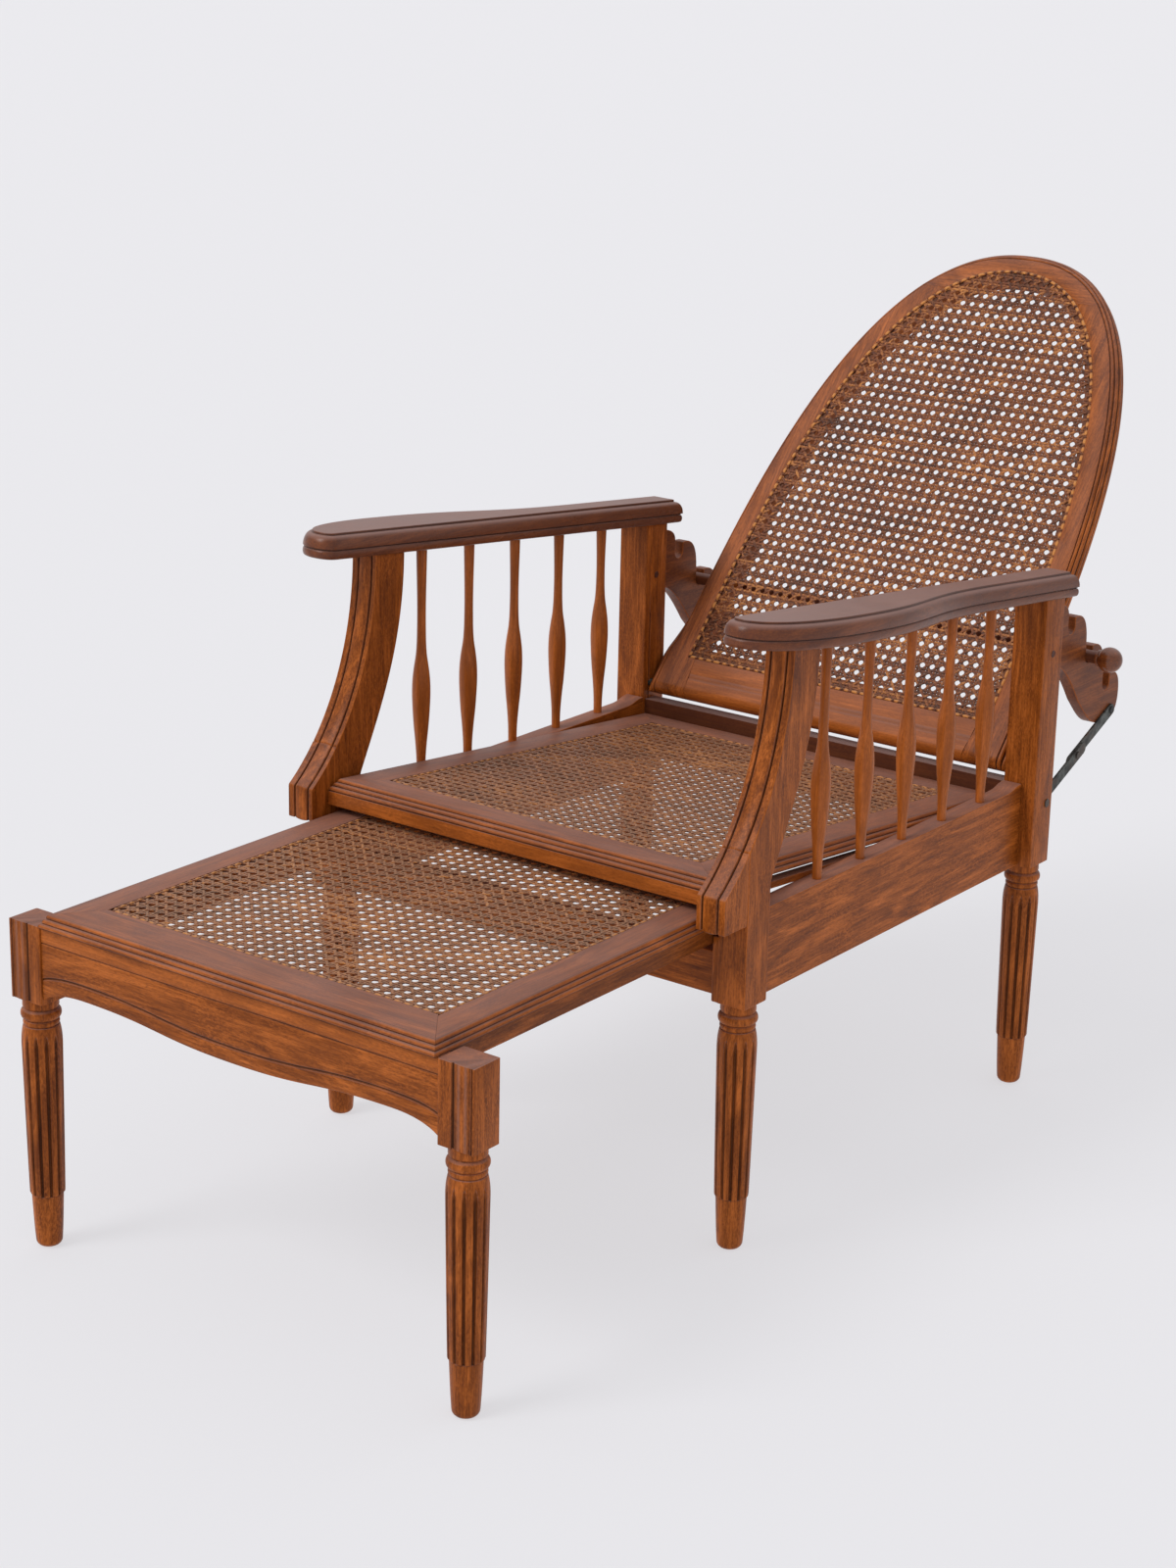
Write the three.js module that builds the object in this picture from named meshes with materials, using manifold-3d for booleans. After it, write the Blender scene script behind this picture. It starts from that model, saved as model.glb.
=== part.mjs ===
// Reclining armchair with a pull-out footrest: beech frame, caned seat, back and footrest.
// Millimetres, +Z up, -Y towards the footrest. Nodes called right are the ones at high X.
// Lengths are measured from the floor, from the middle plane and from the front post line,
// and the finished chair is then moved so that its footprint box is centred on the origin.
import * as THREE from 'three';
import { mergeVertices } from 'three/addons/utils/BufferGeometryUtils.js';
import Module from 'manifold-3d';

const wasm = await Module();
wasm.setup();

// Clearances and cuts
const glueGap = 0.3;
const overrun = 1;
const joinLap = 0.5;

// Turned legs, all six alike
const legHeight = 276;
const footHeight = 60;
const footTipRadius = 13.8;
const footTopRadius = 16.4;
const footEdge = 2;
const shaftFootRadius = 18;
const bellyRadius = 20.8;
const bellyHeight = 225;
const fluteTipHeight = 238;
const throatHeight = 246;
const throatRadius = 17.4;
const fluteCount = 12;
const fluteDepth = 2.8;
const fluteTipShare = 0.55;
const fluteEdgeShare = 0.3;
const tipRadiusShare = 0.97;
const smallBeadHeight = 250;
const smallBeadRadius = 18.8;
const smallBeadHalf = 3;
const ringHeight = 260.5;
const ringRadius = 20.6;
const ringHalf = 5.6;
const neckRadius = 16.2;
const collarHeight = 270.5;
const collarRadius = 18.2;
const beadShoulderShare = 0.62;
const turnedSides = 16;

// Posts: both pairs of uprights share their inner faces
const postInner = 258.25;
const supportWidth = 33.2;
const frontBlockWidth = 41.2;
const frontBlockDepth = 40;
const frontLedge = 348;
const rearPostWidth = 38.6;
const rearPostDepth = 42;
const wheelbase = 573;
const postGrooveFront = 9;
const postGrooveWidth = 2;
const postGrooveDepth = 1.5;
const postGrooveLow = 300;
const postGrooveHigh = 484;

// Arms
const armUnderFront = 648.5;
const armFrontPost = 46;
const armSlope = 0.1065;
const armThickness = 28;
const armInnerReach = 253;
const armWidth = 78;
const armFullBack = 114;
const armNose = 38;
const armNoseWidth = 23;
const armInnerRadius = 20;
const armTail = 28;
const armTailWidth = 48;
const armWaistWidth = 48;
const armWaistBack = 430;
const armEdgePieces = 9;
const cornerStretchShare = 0.55;
const armEdgeInsetShares = [0.11, 0.02, 0, 0.03, 0.09, 0.06, 0.09, 0.17, 0.29, 0.33, 0.33];
const armEdgeHeightShares = [0, 0.07, 0.22, 0.37, 0.41, 0.47, 0.65, 0.79, 0.88, 0.89, 1];

// Front arm supports: sabre curves from the arm down to the toe
const sabreTopFront = 46;
const sabreTopRear = 94;
const sabreFrontPull = 110;
const sabreRearPull = 110;
const sabreHeelHeight = 405;
const sabreHeelPull = 70;
const sabreHeelSlopeShare = 0.5;
const sabreToePull = 80;
const sabreToeSlopeShare = 1.3;
const sabreSteps = 12;
const sabreGroove = 1.6;
const sabreGrooveWidth = 1.8;
const sabreInnerGrooveShare = 0.19;
const sabreOuterGrooveShare = 0.74;
const toeFront = 61;
const toeUnderside = 368;
const toeHeight = 37;

// Rails
const sideRailThickness = 24;
const sideRailTop = 371;
const sideRailBottom = 277;
const sideRailKick = 5;
const sideRailKickRun = 34;
const frontRailThickness = 20;
const frontRailTop = 327;
const frontRailBottom = 280;
const rearRailThickness = 20;
const rearRailTop = 373;
const rearRailSetBack = 4;
const rearRailBottom = 300;

// Spindles
const spindleCount = 5;
const spindleFirst = 139;
const spindlePitch = 84;
const spindleFootRadius = 6.2;
const spindleBulgeRadius = 10.6;
const spindleNeckRadius = 4.9;
const spindleHeadRadius = 5.6;
const spindleBulgeHeight = 463;
const spindleShoulder = 20;
const spindleNeckRise = 62;
const spindleSides = 10;

// Seat frame
const seatFrontTop = 412;
const seatFront = -24;
const seatRun = 566;
const seatSlope = 0.0925;
const seatArrisReach = 246;
const seatMember = 45;
const seatDepthFront = 30;
const seatDepthSide = 20;
const reedOut = 10;
const reedDrop = 13.5;
const reedCount = 3;
const reedGroove = 1.6;
const reedCrownShare = 0.3;
const reedHollowShare = 0.85;
const caneRebate = 8;
const caneThickness = 2.4;
const bearerThickness = 8;
const bearerWidth = 14;

// Footrest
const footrestLegLine = -445.2;
const footrestBlockInner = 258;
const footrestBlockWidth = 43;
const footrestBlockDepth = 38;
const footrestBlockTop = 361;
const footrestTop = 374.5;
const footrestFront = -456;
const footrestTail = 52;
const footrestArrisReach = 249;
const footrestMemberFront = 55;
const footrestMemberSide = 42;
const footrestDepth = 36;
const footrestDepthRear = 14;
const footrestReedOut = 8;
const apronThickness = 18;
const apronSetBack = 2.5;
const apronCentreDrop = 77;
const apronCuspDrop = 66;
const apronHeelDrop = 79;
const apronCuspShare = 0.78;
const apronHeelShare = 0.93;
const axleRadius = 7;
const axleHeight = 352;
const axleBack = 30;
const axleSides = 12;
const axleClearance = 0.3;
const guideHeight = 10;
const guideRun = 420;
const guideGap = 0.9;

// Backrest, drawn upright in its own plane and then leaned back about its pivot
const backLean = 40.8;
const pivotSetBack = 6;
const pivotHeight = 392;
const backThickness = 23;
const backReach = 243;
const backHeight = 675;
const backStileWidth = 30;
const backCrestWidth = 31;
const backSidePower = 3.08;
const backCrownPower = 2.26;
const backStep = 8;
const backStepDepth = 6;
const windowSidePower = 3;
const windowCrownPower = 2.2;
const recessBottom = 39;
const caneLedgeSide = 9;
const caneLedgeCrown = 14;
const caneLedgeFoot = 16;
const scarfDrop = 67;
const stileJointHead = 204;
const stileJointFoot = 196;
const earReach = 256.5;
const earTop = 45;
const earBlend = 92;
const arcSteps = 18;
const pivotPinRadius = 5;
const pivotPinDepth = 22;
const pinClearance = 0.3;
const pinSides = 12;

// Recline rack
const barRadius = 7.5;
const barRise = 160;
const barReach = 300;
const knobRadius = 15;
const knobReach = 312;
const notchClearance = 0.6;
const notchStepBack = 47.5;
const notchStepDown = 43.5;
const notchSteps = 5;
const hornRise = 19;
const hornWidth = 6;
const hornFall = 24;
const hornNoseRise = 20;
const bracketThickness = 15;
const bracketTop = 578;
const bracketRoot = 506;
const bracketBellyDrop = 95;
const bracketBellyRun = 35;
const bracketBellyPull = 28;
const bracketWaistRun = 95;
const bracketWaistDrop = 56;
const bracketWaistPull = 25;
const bracketShoulderDrop = 22;
const bracketEndRun = 20;
const tenonLength = 28;
const tenonTop = 560;
const tenonBottom = 512;
const pegRadius = 4;
const pegHeight = 529;

// Steel stays
const stayThickness = 2.5;
const stayWidth = 14;
const stayTopRun = 154;
const stayTopHeight = 422;
const stayBoltRun = 12;
const stayBoltHeight = 349;
const stayKneeShare = 0.5;
const stayLap = 13;
const rivetRadius = 4.5;
const rivetHead = 1.6;
const boltRadius = 3;
const boltHeadRadius = 5;
const boltHead = 2.2;

// Cane nets
const netGap = 0.3;
const netBarShare = 0.34;
const seatNetColumns = 8;
const seatNetRows = 10;
const footrestNetColumns = 8;
const footrestNetRows = 8;
const backNetPitch = 46;
const backNetMargin = 9;

// Finishes
const walnutFinish = { color: 0x8a4b26, roughness: 0.42, metalness: 0 };
const darkFinish = { color: 0x5d3520, roughness: 0.45, metalness: 0 };
const caneFinish = { color: 0xb07a3e, roughness: 0.6, metalness: 0 };
const steelFinish = { color: 0x4a4d4a, roughness: 0.55, metalness: 0.8 };

// Derived places
const rebateDepth = caneThickness + 2 * netGap;
const sabreLevel = armUnderFront + overrun;
const supportOuter = postInner + supportWidth;
const frontBlockInner = supportOuter - frontBlockWidth;
const frontLegCentre = supportOuter - frontBlockWidth / 2;
const frontHalf = frontBlockDepth / 2;
const rearLegCentre = postInner + rearPostWidth / 2;
const rearPostOuter = postInner + rearPostWidth;
const rearHalf = rearPostDepth / 2;
const rearPostFront = wheelbase - rearHalf;
const rearPostBack = wheelbase + rearHalf;
const railCentre = postInner + sideRailThickness / 2;
const pivotBack = wheelbase - pivotSetBack;
const recessReach = backReach - backStileWidth;
const recessHeight = backHeight - backCrestWidth;
const openingReach = recessReach - caneLedgeSide;
const openingHeight = recessHeight - caneLedgeCrown;
const openingBottom = recessBottom + caneLedgeFoot;
const scarfHeight = backHeight - scarfDrop;
const armAngle = Math.atan(armSlope);
const seatAngle = Math.atan(seatSlope);
const leanAngle = THREE.MathUtils.degToRad(backLean);
const armUnderside = (back) => armUnderFront - armSlope * (back - armFrontPost);
const xAxis = new THREE.Vector3(1, 0, 0);
const yAxis = new THREE.Vector3(0, 1, 0);
const zAxis = new THREE.Vector3(0, 0, 1);
const acrossBasis = new THREE.Matrix4().makeBasis(yAxis, zAxis, xAxis);
const facingBasis = new THREE.Matrix4().makeBasis(xAxis, zAxis, yAxis.clone().negate());

// Solids: a closed mesh becomes a manifold, is joined or cut, and comes back as a geometry
function solid(geometry) {
  const bare = geometry.clone();
  bare.deleteAttribute('normal');
  bare.deleteAttribute('uv');
  const merged = mergeVertices(bare);
  const vertProperties = new Float32Array(merged.attributes.position.array);
  const triVerts = new Uint32Array(merged.index.array);
  return new wasm.Manifold(new wasm.Mesh({ numProp: 3, vertProperties, triVerts }));
}

function geometryOf(manifold) {
  const mesh = manifold.getMesh();
  const geometry = new THREE.BufferGeometry();
  geometry.setAttribute('position', new THREE.BufferAttribute(new Float32Array(mesh.vertProperties), 3));
  geometry.setIndex(new THREE.BufferAttribute(new Uint32Array(mesh.triVerts), 1));
  return geometry;
}

const join = (...solids) => solids.reduce((whole, next) => whole.add(next));
const cut = (whole, ...tools) => tools.reduce((rest, tool) => rest.subtract(tool), whole);

function outline(points) {
  return new THREE.Shape(points.map(([a, b]) => new THREE.Vector2(a, b)));
}

function extruded(shape, depth) {
  return new THREE.ExtrudeGeometry(shape, { depth, bevelEnabled: false, curveSegments: notchSteps });
}

// A board drawn in side view, back along Y and up along Z, with its thickness across X
function sideBoard(shape, thickness, centre) {
  const geometry = extruded(shape, thickness);
  geometry.applyMatrix4(acrossBasis);
  geometry.translate(centre - thickness / 2, 0, 0);
  return geometry;
}

// A board drawn in front view, across X and up Z, with its thickness along Y
function frontBoard(shape, thickness, face) {
  const geometry = extruded(shape, thickness);
  geometry.applyMatrix4(facingBasis);
  geometry.translate(0, face + thickness, 0);
  return geometry;
}

function block(xLow, xHigh, yLow, yHigh, zLow, zHigh) {
  const geometry = new THREE.BoxGeometry(xHigh - xLow, yHigh - yLow, zHigh - zLow);
  geometry.translate((xLow + xHigh) / 2, (yLow + yHigh) / 2, (zLow + zHigh) / 2);
  return geometry;
}

// A turning stands along Z and comes from its radius and height pairs
function turning(profile, sides) {
  const points = profile.map(([radius, height]) => new THREE.Vector2(radius, height));
  const geometry = new THREE.LatheGeometry(points, sides);
  geometry.rotateX(Math.PI / 2);
  return geometry;
}

// A rod along X between two places
function rodAcross(radius, xLow, xHigh, back, height, sides) {
  const geometry = new THREE.CylinderGeometry(radius, radius, xHigh - xLow, sides);
  geometry.rotateZ(Math.PI / 2);
  geometry.translate((xLow + xHigh) / 2, back, height);
  return geometry;
}

// The same rod on either side of the chair, given by its near and far reach from the middle
function sideRod(side, radius, near, far, back, height) {
  const low = Math.min(side * near, side * far);
  const high = Math.max(side * near, side * far);
  return rodAcross(radius, low, high, back, height, pinSides);
}

function arcPoints(centreA, centreB, radius, from, to, steps) {
  const points = [];
  for (let i = 0; i <= steps; i += 1) {
    const angle = from + (to - from) * (i / steps);
    points.push([centreA + radius * Math.cos(angle), centreB + radius * Math.sin(angle)]);
  }
  return points;
}

// Turned leg: plain foot, fluted shaft with pointed flute tops, two beads and a collar
function flutedShaft() {
  const rows = [
    [footHeight - joinLap, shaftFootRadius, fluteDepth],
    [bellyHeight, bellyRadius, fluteDepth],
    [bellyHeight + (fluteTipHeight - bellyHeight) * fluteTipShare, bellyRadius, fluteDepth * fluteTipShare],
    [fluteTipHeight, bellyRadius * tipRadiusShare, 0],
    [throatHeight, throatRadius, 0],
  ];
  const pointsPerFlute = 3;
  const ringSize = fluteCount * pointsPerFlute;
  const pitch = 2 * Math.PI / fluteCount;
  const positions = [];
  const indices = [];
  rows.forEach(([height, radius, depth]) => {
    for (let flute = 0; flute < fluteCount; flute += 1) {
      [-fluteEdgeShare, 0, fluteEdgeShare].forEach((edge) => {
        const angle = (flute + edge) * pitch;
        const reach = edge === 0 ? radius - depth : radius;
        positions.push(reach * Math.cos(angle), reach * Math.sin(angle), height);
      });
    }
  });
  for (let row = 0; row < rows.length - 1; row += 1) {
    for (let i = 0; i < ringSize; i += 1) {
      const next = (i + 1) % ringSize;
      const a = row * ringSize + i;
      const b = row * ringSize + next;
      indices.push(a, b, a + ringSize, b, b + ringSize, a + ringSize);
    }
  }
  const bottom = positions.length / 3;
  positions.push(0, 0, rows[0][0]);
  const top = bottom + 1;
  positions.push(0, 0, rows[rows.length - 1][0]);
  const lastRow = (rows.length - 1) * ringSize;
  for (let i = 0; i < ringSize; i += 1) {
    const next = (i + 1) % ringSize;
    indices.push(bottom, next, i);
    indices.push(top, lastRow + i, lastRow + next);
  }
  const geometry = new THREE.BufferGeometry();
  geometry.setAttribute('position', new THREE.Float32BufferAttribute(positions, 3));
  geometry.setIndex(indices);
  return geometry;
}

function beadProfile(height, half, base, crown) {
  const shoulder = base + (crown - base) * beadShoulderShare;
  return [
    [base, height - half],
    [shoulder, height - half * beadShoulderShare],
    [crown, height],
    [shoulder, height + half * beadShoulderShare],
    [base, height + half],
  ];
}

function turnedLeg() {
  const foot = turning([
    [0, 0],
    [footTipRadius - footEdge, 0],
    [footTipRadius, footEdge],
    [footTopRadius, footHeight],
    [0, footHeight],
  ], turnedSides);
  const neck = turning([
    [0, throatHeight - joinLap],
    [throatRadius - joinLap, throatHeight - joinLap],
    ...beadProfile(smallBeadHeight, smallBeadHalf, throatRadius, smallBeadRadius),
    ...beadProfile(ringHeight, ringHalf, neckRadius, ringRadius),
    [neckRadius, collarHeight],
    [collarRadius, collarHeight],
    [collarRadius, legHeight + joinLap],
    [0, legHeight + joinLap],
  ], turnedSides);
  return join(solid(foot), solid(flutedShaft()), solid(neck));
}

const legTurning = turnedLeg();

// Front leg, block and sabre arm support are one timber, with the toe glued on in front
const sabreToeRun = sabreToePull / sabreToeSlopeShare;
const toeTop = toeUnderside + toeHeight;
const sabreFrontCurve = new THREE.CubicBezierCurve(
  new THREE.Vector2(sabreTopFront, sabreLevel),
  new THREE.Vector2(sabreTopFront, sabreLevel - sabreFrontPull),
  new THREE.Vector2(sabreToeRun - toeFront, toeTop + sabreToeRun / sabreToeSlopeShare),
  new THREE.Vector2(-toeFront, toeTop),
);
const sabreRearCurve = new THREE.CubicBezierCurve(
  new THREE.Vector2(frontHalf, sabreHeelHeight),
  new THREE.Vector2(frontHalf + sabreHeelPull * sabreHeelSlopeShare, sabreHeelHeight + sabreHeelPull),
  new THREE.Vector2(sabreTopRear, sabreLevel - sabreRearPull),
  new THREE.Vector2(sabreTopRear, sabreLevel),
);

function sabreSide() {
  return outline([
    [-frontHalf, legHeight],
    [frontHalf, legHeight],
    ...sabreRearCurve.getPoints(sabreSteps).map((point) => [point.x, point.y]),
    ...sabreFrontCurve.getPoints(sabreSteps).map((point) => [point.x, point.y]),
    [-toeFront, toeUnderside],
    [-frontHalf, toeUnderside],
  ]);
}

// Two fine grooves run down the front of the sabre and the toe
function sabreGrooves() {
  const inwards = [];
  const outwards = [];
  for (let i = 0; i <= sabreSteps; i += 1) {
    const point = sabreFrontCurve.getPoint(i / sabreSteps);
    const along = sabreFrontCurve.getTangent(i / sabreSteps);
    inwards.push([point.x - along.y * sabreGroove, point.y + along.x * sabreGroove]);
    outwards.push([point.x + along.y * overrun, point.y - along.x * overrun]);
  }
  inwards[sabreSteps][1] = toeTop;
  const track = outline([
    ...inwards,
    [-toeFront + sabreGroove, toeTop],
    [-toeFront + sabreGroove, toeUnderside - overrun],
    [-toeFront - overrun, toeUnderside - overrun],
    ...outwards.reverse(),
  ]);
  return [sabreInnerGrooveShare, sabreOuterGrooveShare].map((share) => (
    solid(sideBoard(track, sabreGrooveWidth, postInner + supportWidth * share))
  ));
}

function frontTimber() {
  const board = solid(sideBoard(sabreSide(), frontBlockWidth, frontLegCentre));
  const ledge = solid(block(
    frontBlockInner - overrun,
    postInner,
    -toeFront - overrun,
    sabreTopRear + overrun,
    frontLedge,
    sabreLevel + overrun,
  ));
  return cut(board, ledge, ...sabreGrooves());
}

// The underside of an arm, as a large tool that trims the pieces below it
function armTrim(centre, gap) {
  const reach = postInner;
  const tool = block(centre - reach, centre + reach, -wheelbase, 2 * wheelbase, 0, armUnderFront);
  tool.rotateX(-armAngle);
  tool.translate(0, armFrontPost, armUnderFront - gap);
  return solid(tool);
}

const frontBoardTimber = frontTimber();
const toeSplit = solid(block(0, 2 * postInner, -2 * toeFront, -frontHalf, 0, sabreLevel));
const toeSplitGap = solid(block(
  0,
  2 * postInner,
  -frontHalf - glueGap,
  sabreTopRear + overrun,
  0,
  sabreLevel,
));
const handed = (side, timber) => (side > 0 ? timber : timber.mirror([1, 0, 0]));

function frontLeg(side) {
  const upper = cut(frontBoardTimber, toeSplit, armTrim(frontLegCentre, glueGap));
  return handed(side, join(legTurning.translate([frontLegCentre, 0, 0]), upper));
}

function toe(side) {
  return handed(side, cut(frontBoardTimber, toeSplitGap));
}

// Rear leg: turned below, square above, mortised for the rack bracket and slotted for the stay
function rearLeg(side) {
  const post = solid(block(
    postInner,
    rearPostOuter,
    rearPostFront,
    rearPostBack,
    legHeight,
    armUnderFront,
  ));
  const timber = join(legTurning.translate([rearLegCentre, wheelbase, 0]), post);
  const mortise = solid(block(
    rearLegCentre - bracketThickness / 2 - glueGap,
    rearLegCentre + bracketThickness / 2 + glueGap,
    rearPostBack - tenonLength - glueGap,
    rearPostBack + overrun,
    tenonBottom - glueGap,
    tenonTop + glueGap,
  ));
  const groove = solid(block(
    postInner - overrun,
    postInner + postGrooveDepth,
    rearPostFront + postGrooveFront,
    rearPostFront + postGrooveFront + postGrooveWidth,
    postGrooveLow,
    postGrooveHigh,
  ));
  const pinHole = solid(rodAcross(
    pivotPinRadius + glueGap,
    0,
    postInner + pivotPinDepth,
    pivotBack,
    pivotHeight,
    pinSides,
  ));
  const boltHole = solid(rodAcross(
    boltRadius + glueGap,
    boltInnerEnd - glueGap,
    2 * postInner,
    stayBoltBack,
    stayBoltHeight,
    pinSides,
  ));
  const tools = [
    armTrim(rearLegCentre, glueGap),
    mortise,
    groove,
    solid(pegHole()),
    pinHole,
    solid(staySlot()),
    boltHole,
  ];
  return handed(side, cut(timber, ...tools));
}

function pegHole() {
  return rodAcross(pegRadius + glueGap, 0, 2 * postInner, wheelbase, pegHeight, pinSides);
}

// Side rail, level on top with a small ogee rise against the rear post
function sideRail(side) {
  const front = frontHalf + glueGap;
  const rear = rearPostFront - glueGap;
  const shape = new THREE.Shape();
  shape.moveTo(front, sideRailBottom);
  shape.lineTo(rear, sideRailBottom);
  shape.lineTo(rear, sideRailTop + sideRailKick);
  const middle = rear - sideRailKickRun / 2;
  const start = rear - sideRailKickRun;
  shape.bezierCurveTo(middle, sideRailTop + sideRailKick, middle, sideRailTop, start, sideRailTop);
  shape.lineTo(front, sideRailTop);
  return sideBoard(shape, sideRailThickness, side * railCentre);
}

function crossRail(thickness, inner, centre, bottom, top) {
  const reach = inner - glueGap;
  return block(-reach, reach, centre - thickness / 2, centre + thickness / 2, bottom, top);
}

// Spindle: slender neck, swelling low down, tapered foot
function spindle(side, number) {
  const back = spindleFirst + number * spindlePitch;
  const foot = sideRailTop + glueGap;
  const head = armUnderside(back) + armSlope * spindleHeadRadius;
  const turned = turning([
    [0, foot],
    [spindleFootRadius, foot],
    [spindleBulgeRadius, spindleBulgeHeight - spindleShoulder / 2],
    [spindleBulgeRadius, spindleBulgeHeight + spindleShoulder / 2],
    [(spindleBulgeRadius + spindleNeckRadius) / 2, spindleBulgeHeight + spindleNeckRise / 2],
    [spindleNeckRadius, spindleBulgeHeight + spindleNeckRise],
    [spindleHeadRadius, head],
    [0, head],
  ], spindleSides);
  turned.translate(side * railCentre, back, 0);
  return cut(solid(turned), armTrim(side * railCentre, glueGap));
}

// Arm outline in plan, from the rear inner corner round the broad nose and back
function armOutline() {
  const tail = rearPostBack + armTail;
  const full = armInnerReach + armWidth;
  const nose = armInnerReach + armNoseWidth;
  const waist = armInnerReach + armWaistWidth;
  const shape = new THREE.Shape();
  shape.moveTo(armInnerReach, tail);
  shape.lineTo(armInnerReach, armInnerRadius - armNose);
  shape.quadraticCurveTo(armInnerReach, -armNose, nose, -armNose);
  const middle = (armFullBack + armWaistBack) / 2;
  shape.bezierCurveTo((nose + full) / 2, -armNose, full, 0, full, armFullBack);
  shape.bezierCurveTo(full, middle, waist, middle, waist, armWaistBack);
  shape.lineTo(armInnerReach + armTailWidth, tail);
  const points = shape.getPoints(armEdgePieces).map((point) => [point.x, point.y]);
  const apart = (a, b) => Math.hypot(a[0] - b[0], a[1] - b[1]) > glueGap;
  return points.filter((point, i) => i === 0 || apart(point, points[i - 1]));
}

// Moves a closed outline inwards along the mean normal of each corner
function inset(points, distance) {
  const count = points.length;
  return points.map(([x, y], i) => {
    const [px, py] = points[(i + count - 1) % count];
    const [nx, ny] = points[(i + 1) % count];
    const before = new THREE.Vector2(x - px, y - py).normalize();
    const after = new THREE.Vector2(nx - x, ny - y).normalize();
    const normal = new THREE.Vector2(-before.y - after.y, before.x + after.x).normalize();
    const stretch = 1 / Math.max(normal.dot(new THREE.Vector2(-before.y, before.x)), cornerStretchShare);
    return [x + normal.x * distance * stretch, y + normal.y * distance * stretch];
  });
}

// Board with a moulded edge all round: one inset and one height share for each line of the moulding
function mouldedBoard(points, thickness, insetShares, heightShares) {
  const area = THREE.ShapeUtils.area(points.map(([x, y]) => new THREE.Vector2(x, y)));
  const ring = area > 0 ? points : points.slice().reverse();
  const count = ring.length;
  const positions = [];
  const indices = [];
  insetShares.forEach((share, row) => {
    const height = thickness * heightShares[row];
    inset(ring, share * thickness).forEach(([x, y]) => positions.push(x, y, height));
  });
  for (let row = 0; row < insetShares.length - 1; row += 1) {
    for (let i = 0; i < count; i += 1) {
      const next = (i + 1) % count;
      const a = row * count + i;
      const b = row * count + next;
      indices.push(a, b, a + count, b, b + count, a + count);
    }
  }
  const lastRow = (insetShares.length - 1) * count;
  const capOf = (share) => inset(ring, share * thickness).map(([x, y]) => new THREE.Vector2(x, y));
  THREE.ShapeUtils.triangulateShape(capOf(insetShares[0]), []).forEach(([a, b, c]) => {
    indices.push(c, b, a);
  });
  THREE.ShapeUtils.triangulateShape(capOf(insetShares[insetShares.length - 1]), []).forEach(([a, b, c]) => {
    indices.push(lastRow + a, lastRow + b, lastRow + c);
  });
  const geometry = new THREE.BufferGeometry();
  geometry.setAttribute('position', new THREE.Float32BufferAttribute(positions, 3));
  geometry.setIndex(indices);
  return geometry;
}

function arm(side) {
  const points = armOutline().map(([x, y]) => [side * x, y - armFrontPost]);
  const board = mouldedBoard(points, armThickness, armEdgeInsetShares, armEdgeHeightShares);
  board.rotateX(-armAngle);
  board.translate(0, armFrontPost, armUnderFront);
  return board;
}

// Reeded edge, from the top arris outwards and down: u runs inwards and w up
function reededEdge(out, drop) {
  const points = [];
  for (let i = 0; i < reedCount; i += 1) {
    const crown = -out * (i + 1) / reedCount;
    points.push([crown, -drop * (i + reedCrownShare) / reedCount]);
    points.push([crown, -drop * (i + reedHollowShare) / reedCount]);
    points.push([crown + reedGroove, -drop * (i + 1) / reedCount]);
  }
  return points;
}

function memberProfile(width, depth, out, faceInset) {
  const lip = width - caneRebate;
  return outline([
    [0, 0],
    ...reededEdge(out, reedDrop),
    [faceInset, -reedDrop],
    [faceInset, -depth],
    [width, -depth],
    [width, -caneThickness - 2 * netGap],
    [lip, -caneThickness - 2 * netGap],
    [lip, 0],
  ]);
}

// One mitred frame member: both ends are cut back by the mitre ratio times the distance inwards
function frameMember(profile, length, mitre, turn, x, y) {
  const geometry = extruded(profile, length);
  const position = geometry.attributes.position;
  for (let i = 0; i < position.count; i += 1) {
    const u = position.getX(i);
    const trim = u * mitre + glueGap;
    const along = position.getZ(i) > length / 2 ? length - trim : trim;
    position.setZ(i, along - length / 2);
  }
  geometry.applyMatrix4(acrossBasis);
  geometry.rotateZ(turn);
  geometry.translate(x, y, 0);
  return geometry;
}

// A net: a thin panel with rows and columns of square gaps
function netPanel(shape, gaps) {
  const panel = extruded(shape, caneThickness);
  panel.translate(0, 0, -caneThickness - netGap);
  const tools = gaps.map(([x, y, halfX, halfY]) => solid(
    block(x - halfX, x + halfX, y - halfY, y + halfY, -rebateDepth - overrun, overrun),
  ));
  return cut(solid(panel), ...tools);
}

function rectangularNet(reach, low, high, columns, rows) {
  const shape = outline([[-reach, low], [reach, low], [reach, high], [-reach, high]]);
  const openReach = reach - caneRebate;
  const openLow = low + caneRebate;
  const pitchX = 2 * openReach / columns;
  const pitchY = (high - low - 2 * caneRebate) / rows;
  const gaps = [];
  for (let row = 0; row < rows; row += 1) {
    for (let column = 0; column < columns; column += 1) {
      gaps.push([
        -openReach + (column + 1 / 2) * pitchX,
        openLow + (row + 1 / 2) * pitchY,
        pitchX * (1 - netBarShare) / 2,
        pitchY * (1 - netBarShare) / 2,
      ]);
    }
  }
  return netPanel(shape, gaps);
}

// Seat frame, drawn flat with its top at zero and its front arris at zero, then sloped down to the rear
function onSeat(geometry) {
  geometry.rotateX(-seatAngle);
  geometry.translate(0, seatFront, seatFrontTop);
  return geometry;
}

const seatLength = seatRun / Math.cos(seatAngle);
const seatFaceInset = reedGroove;
const seatFrontFaceInset = -reedOut;

function seatCane() {
  const reach = seatArrisReach - seatMember + caneRebate - netGap;
  const low = seatMember - caneRebate + netGap;
  return geometryOf(rectangularNet(reach, low, seatLength - low, seatNetColumns, seatNetRows));
}

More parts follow.
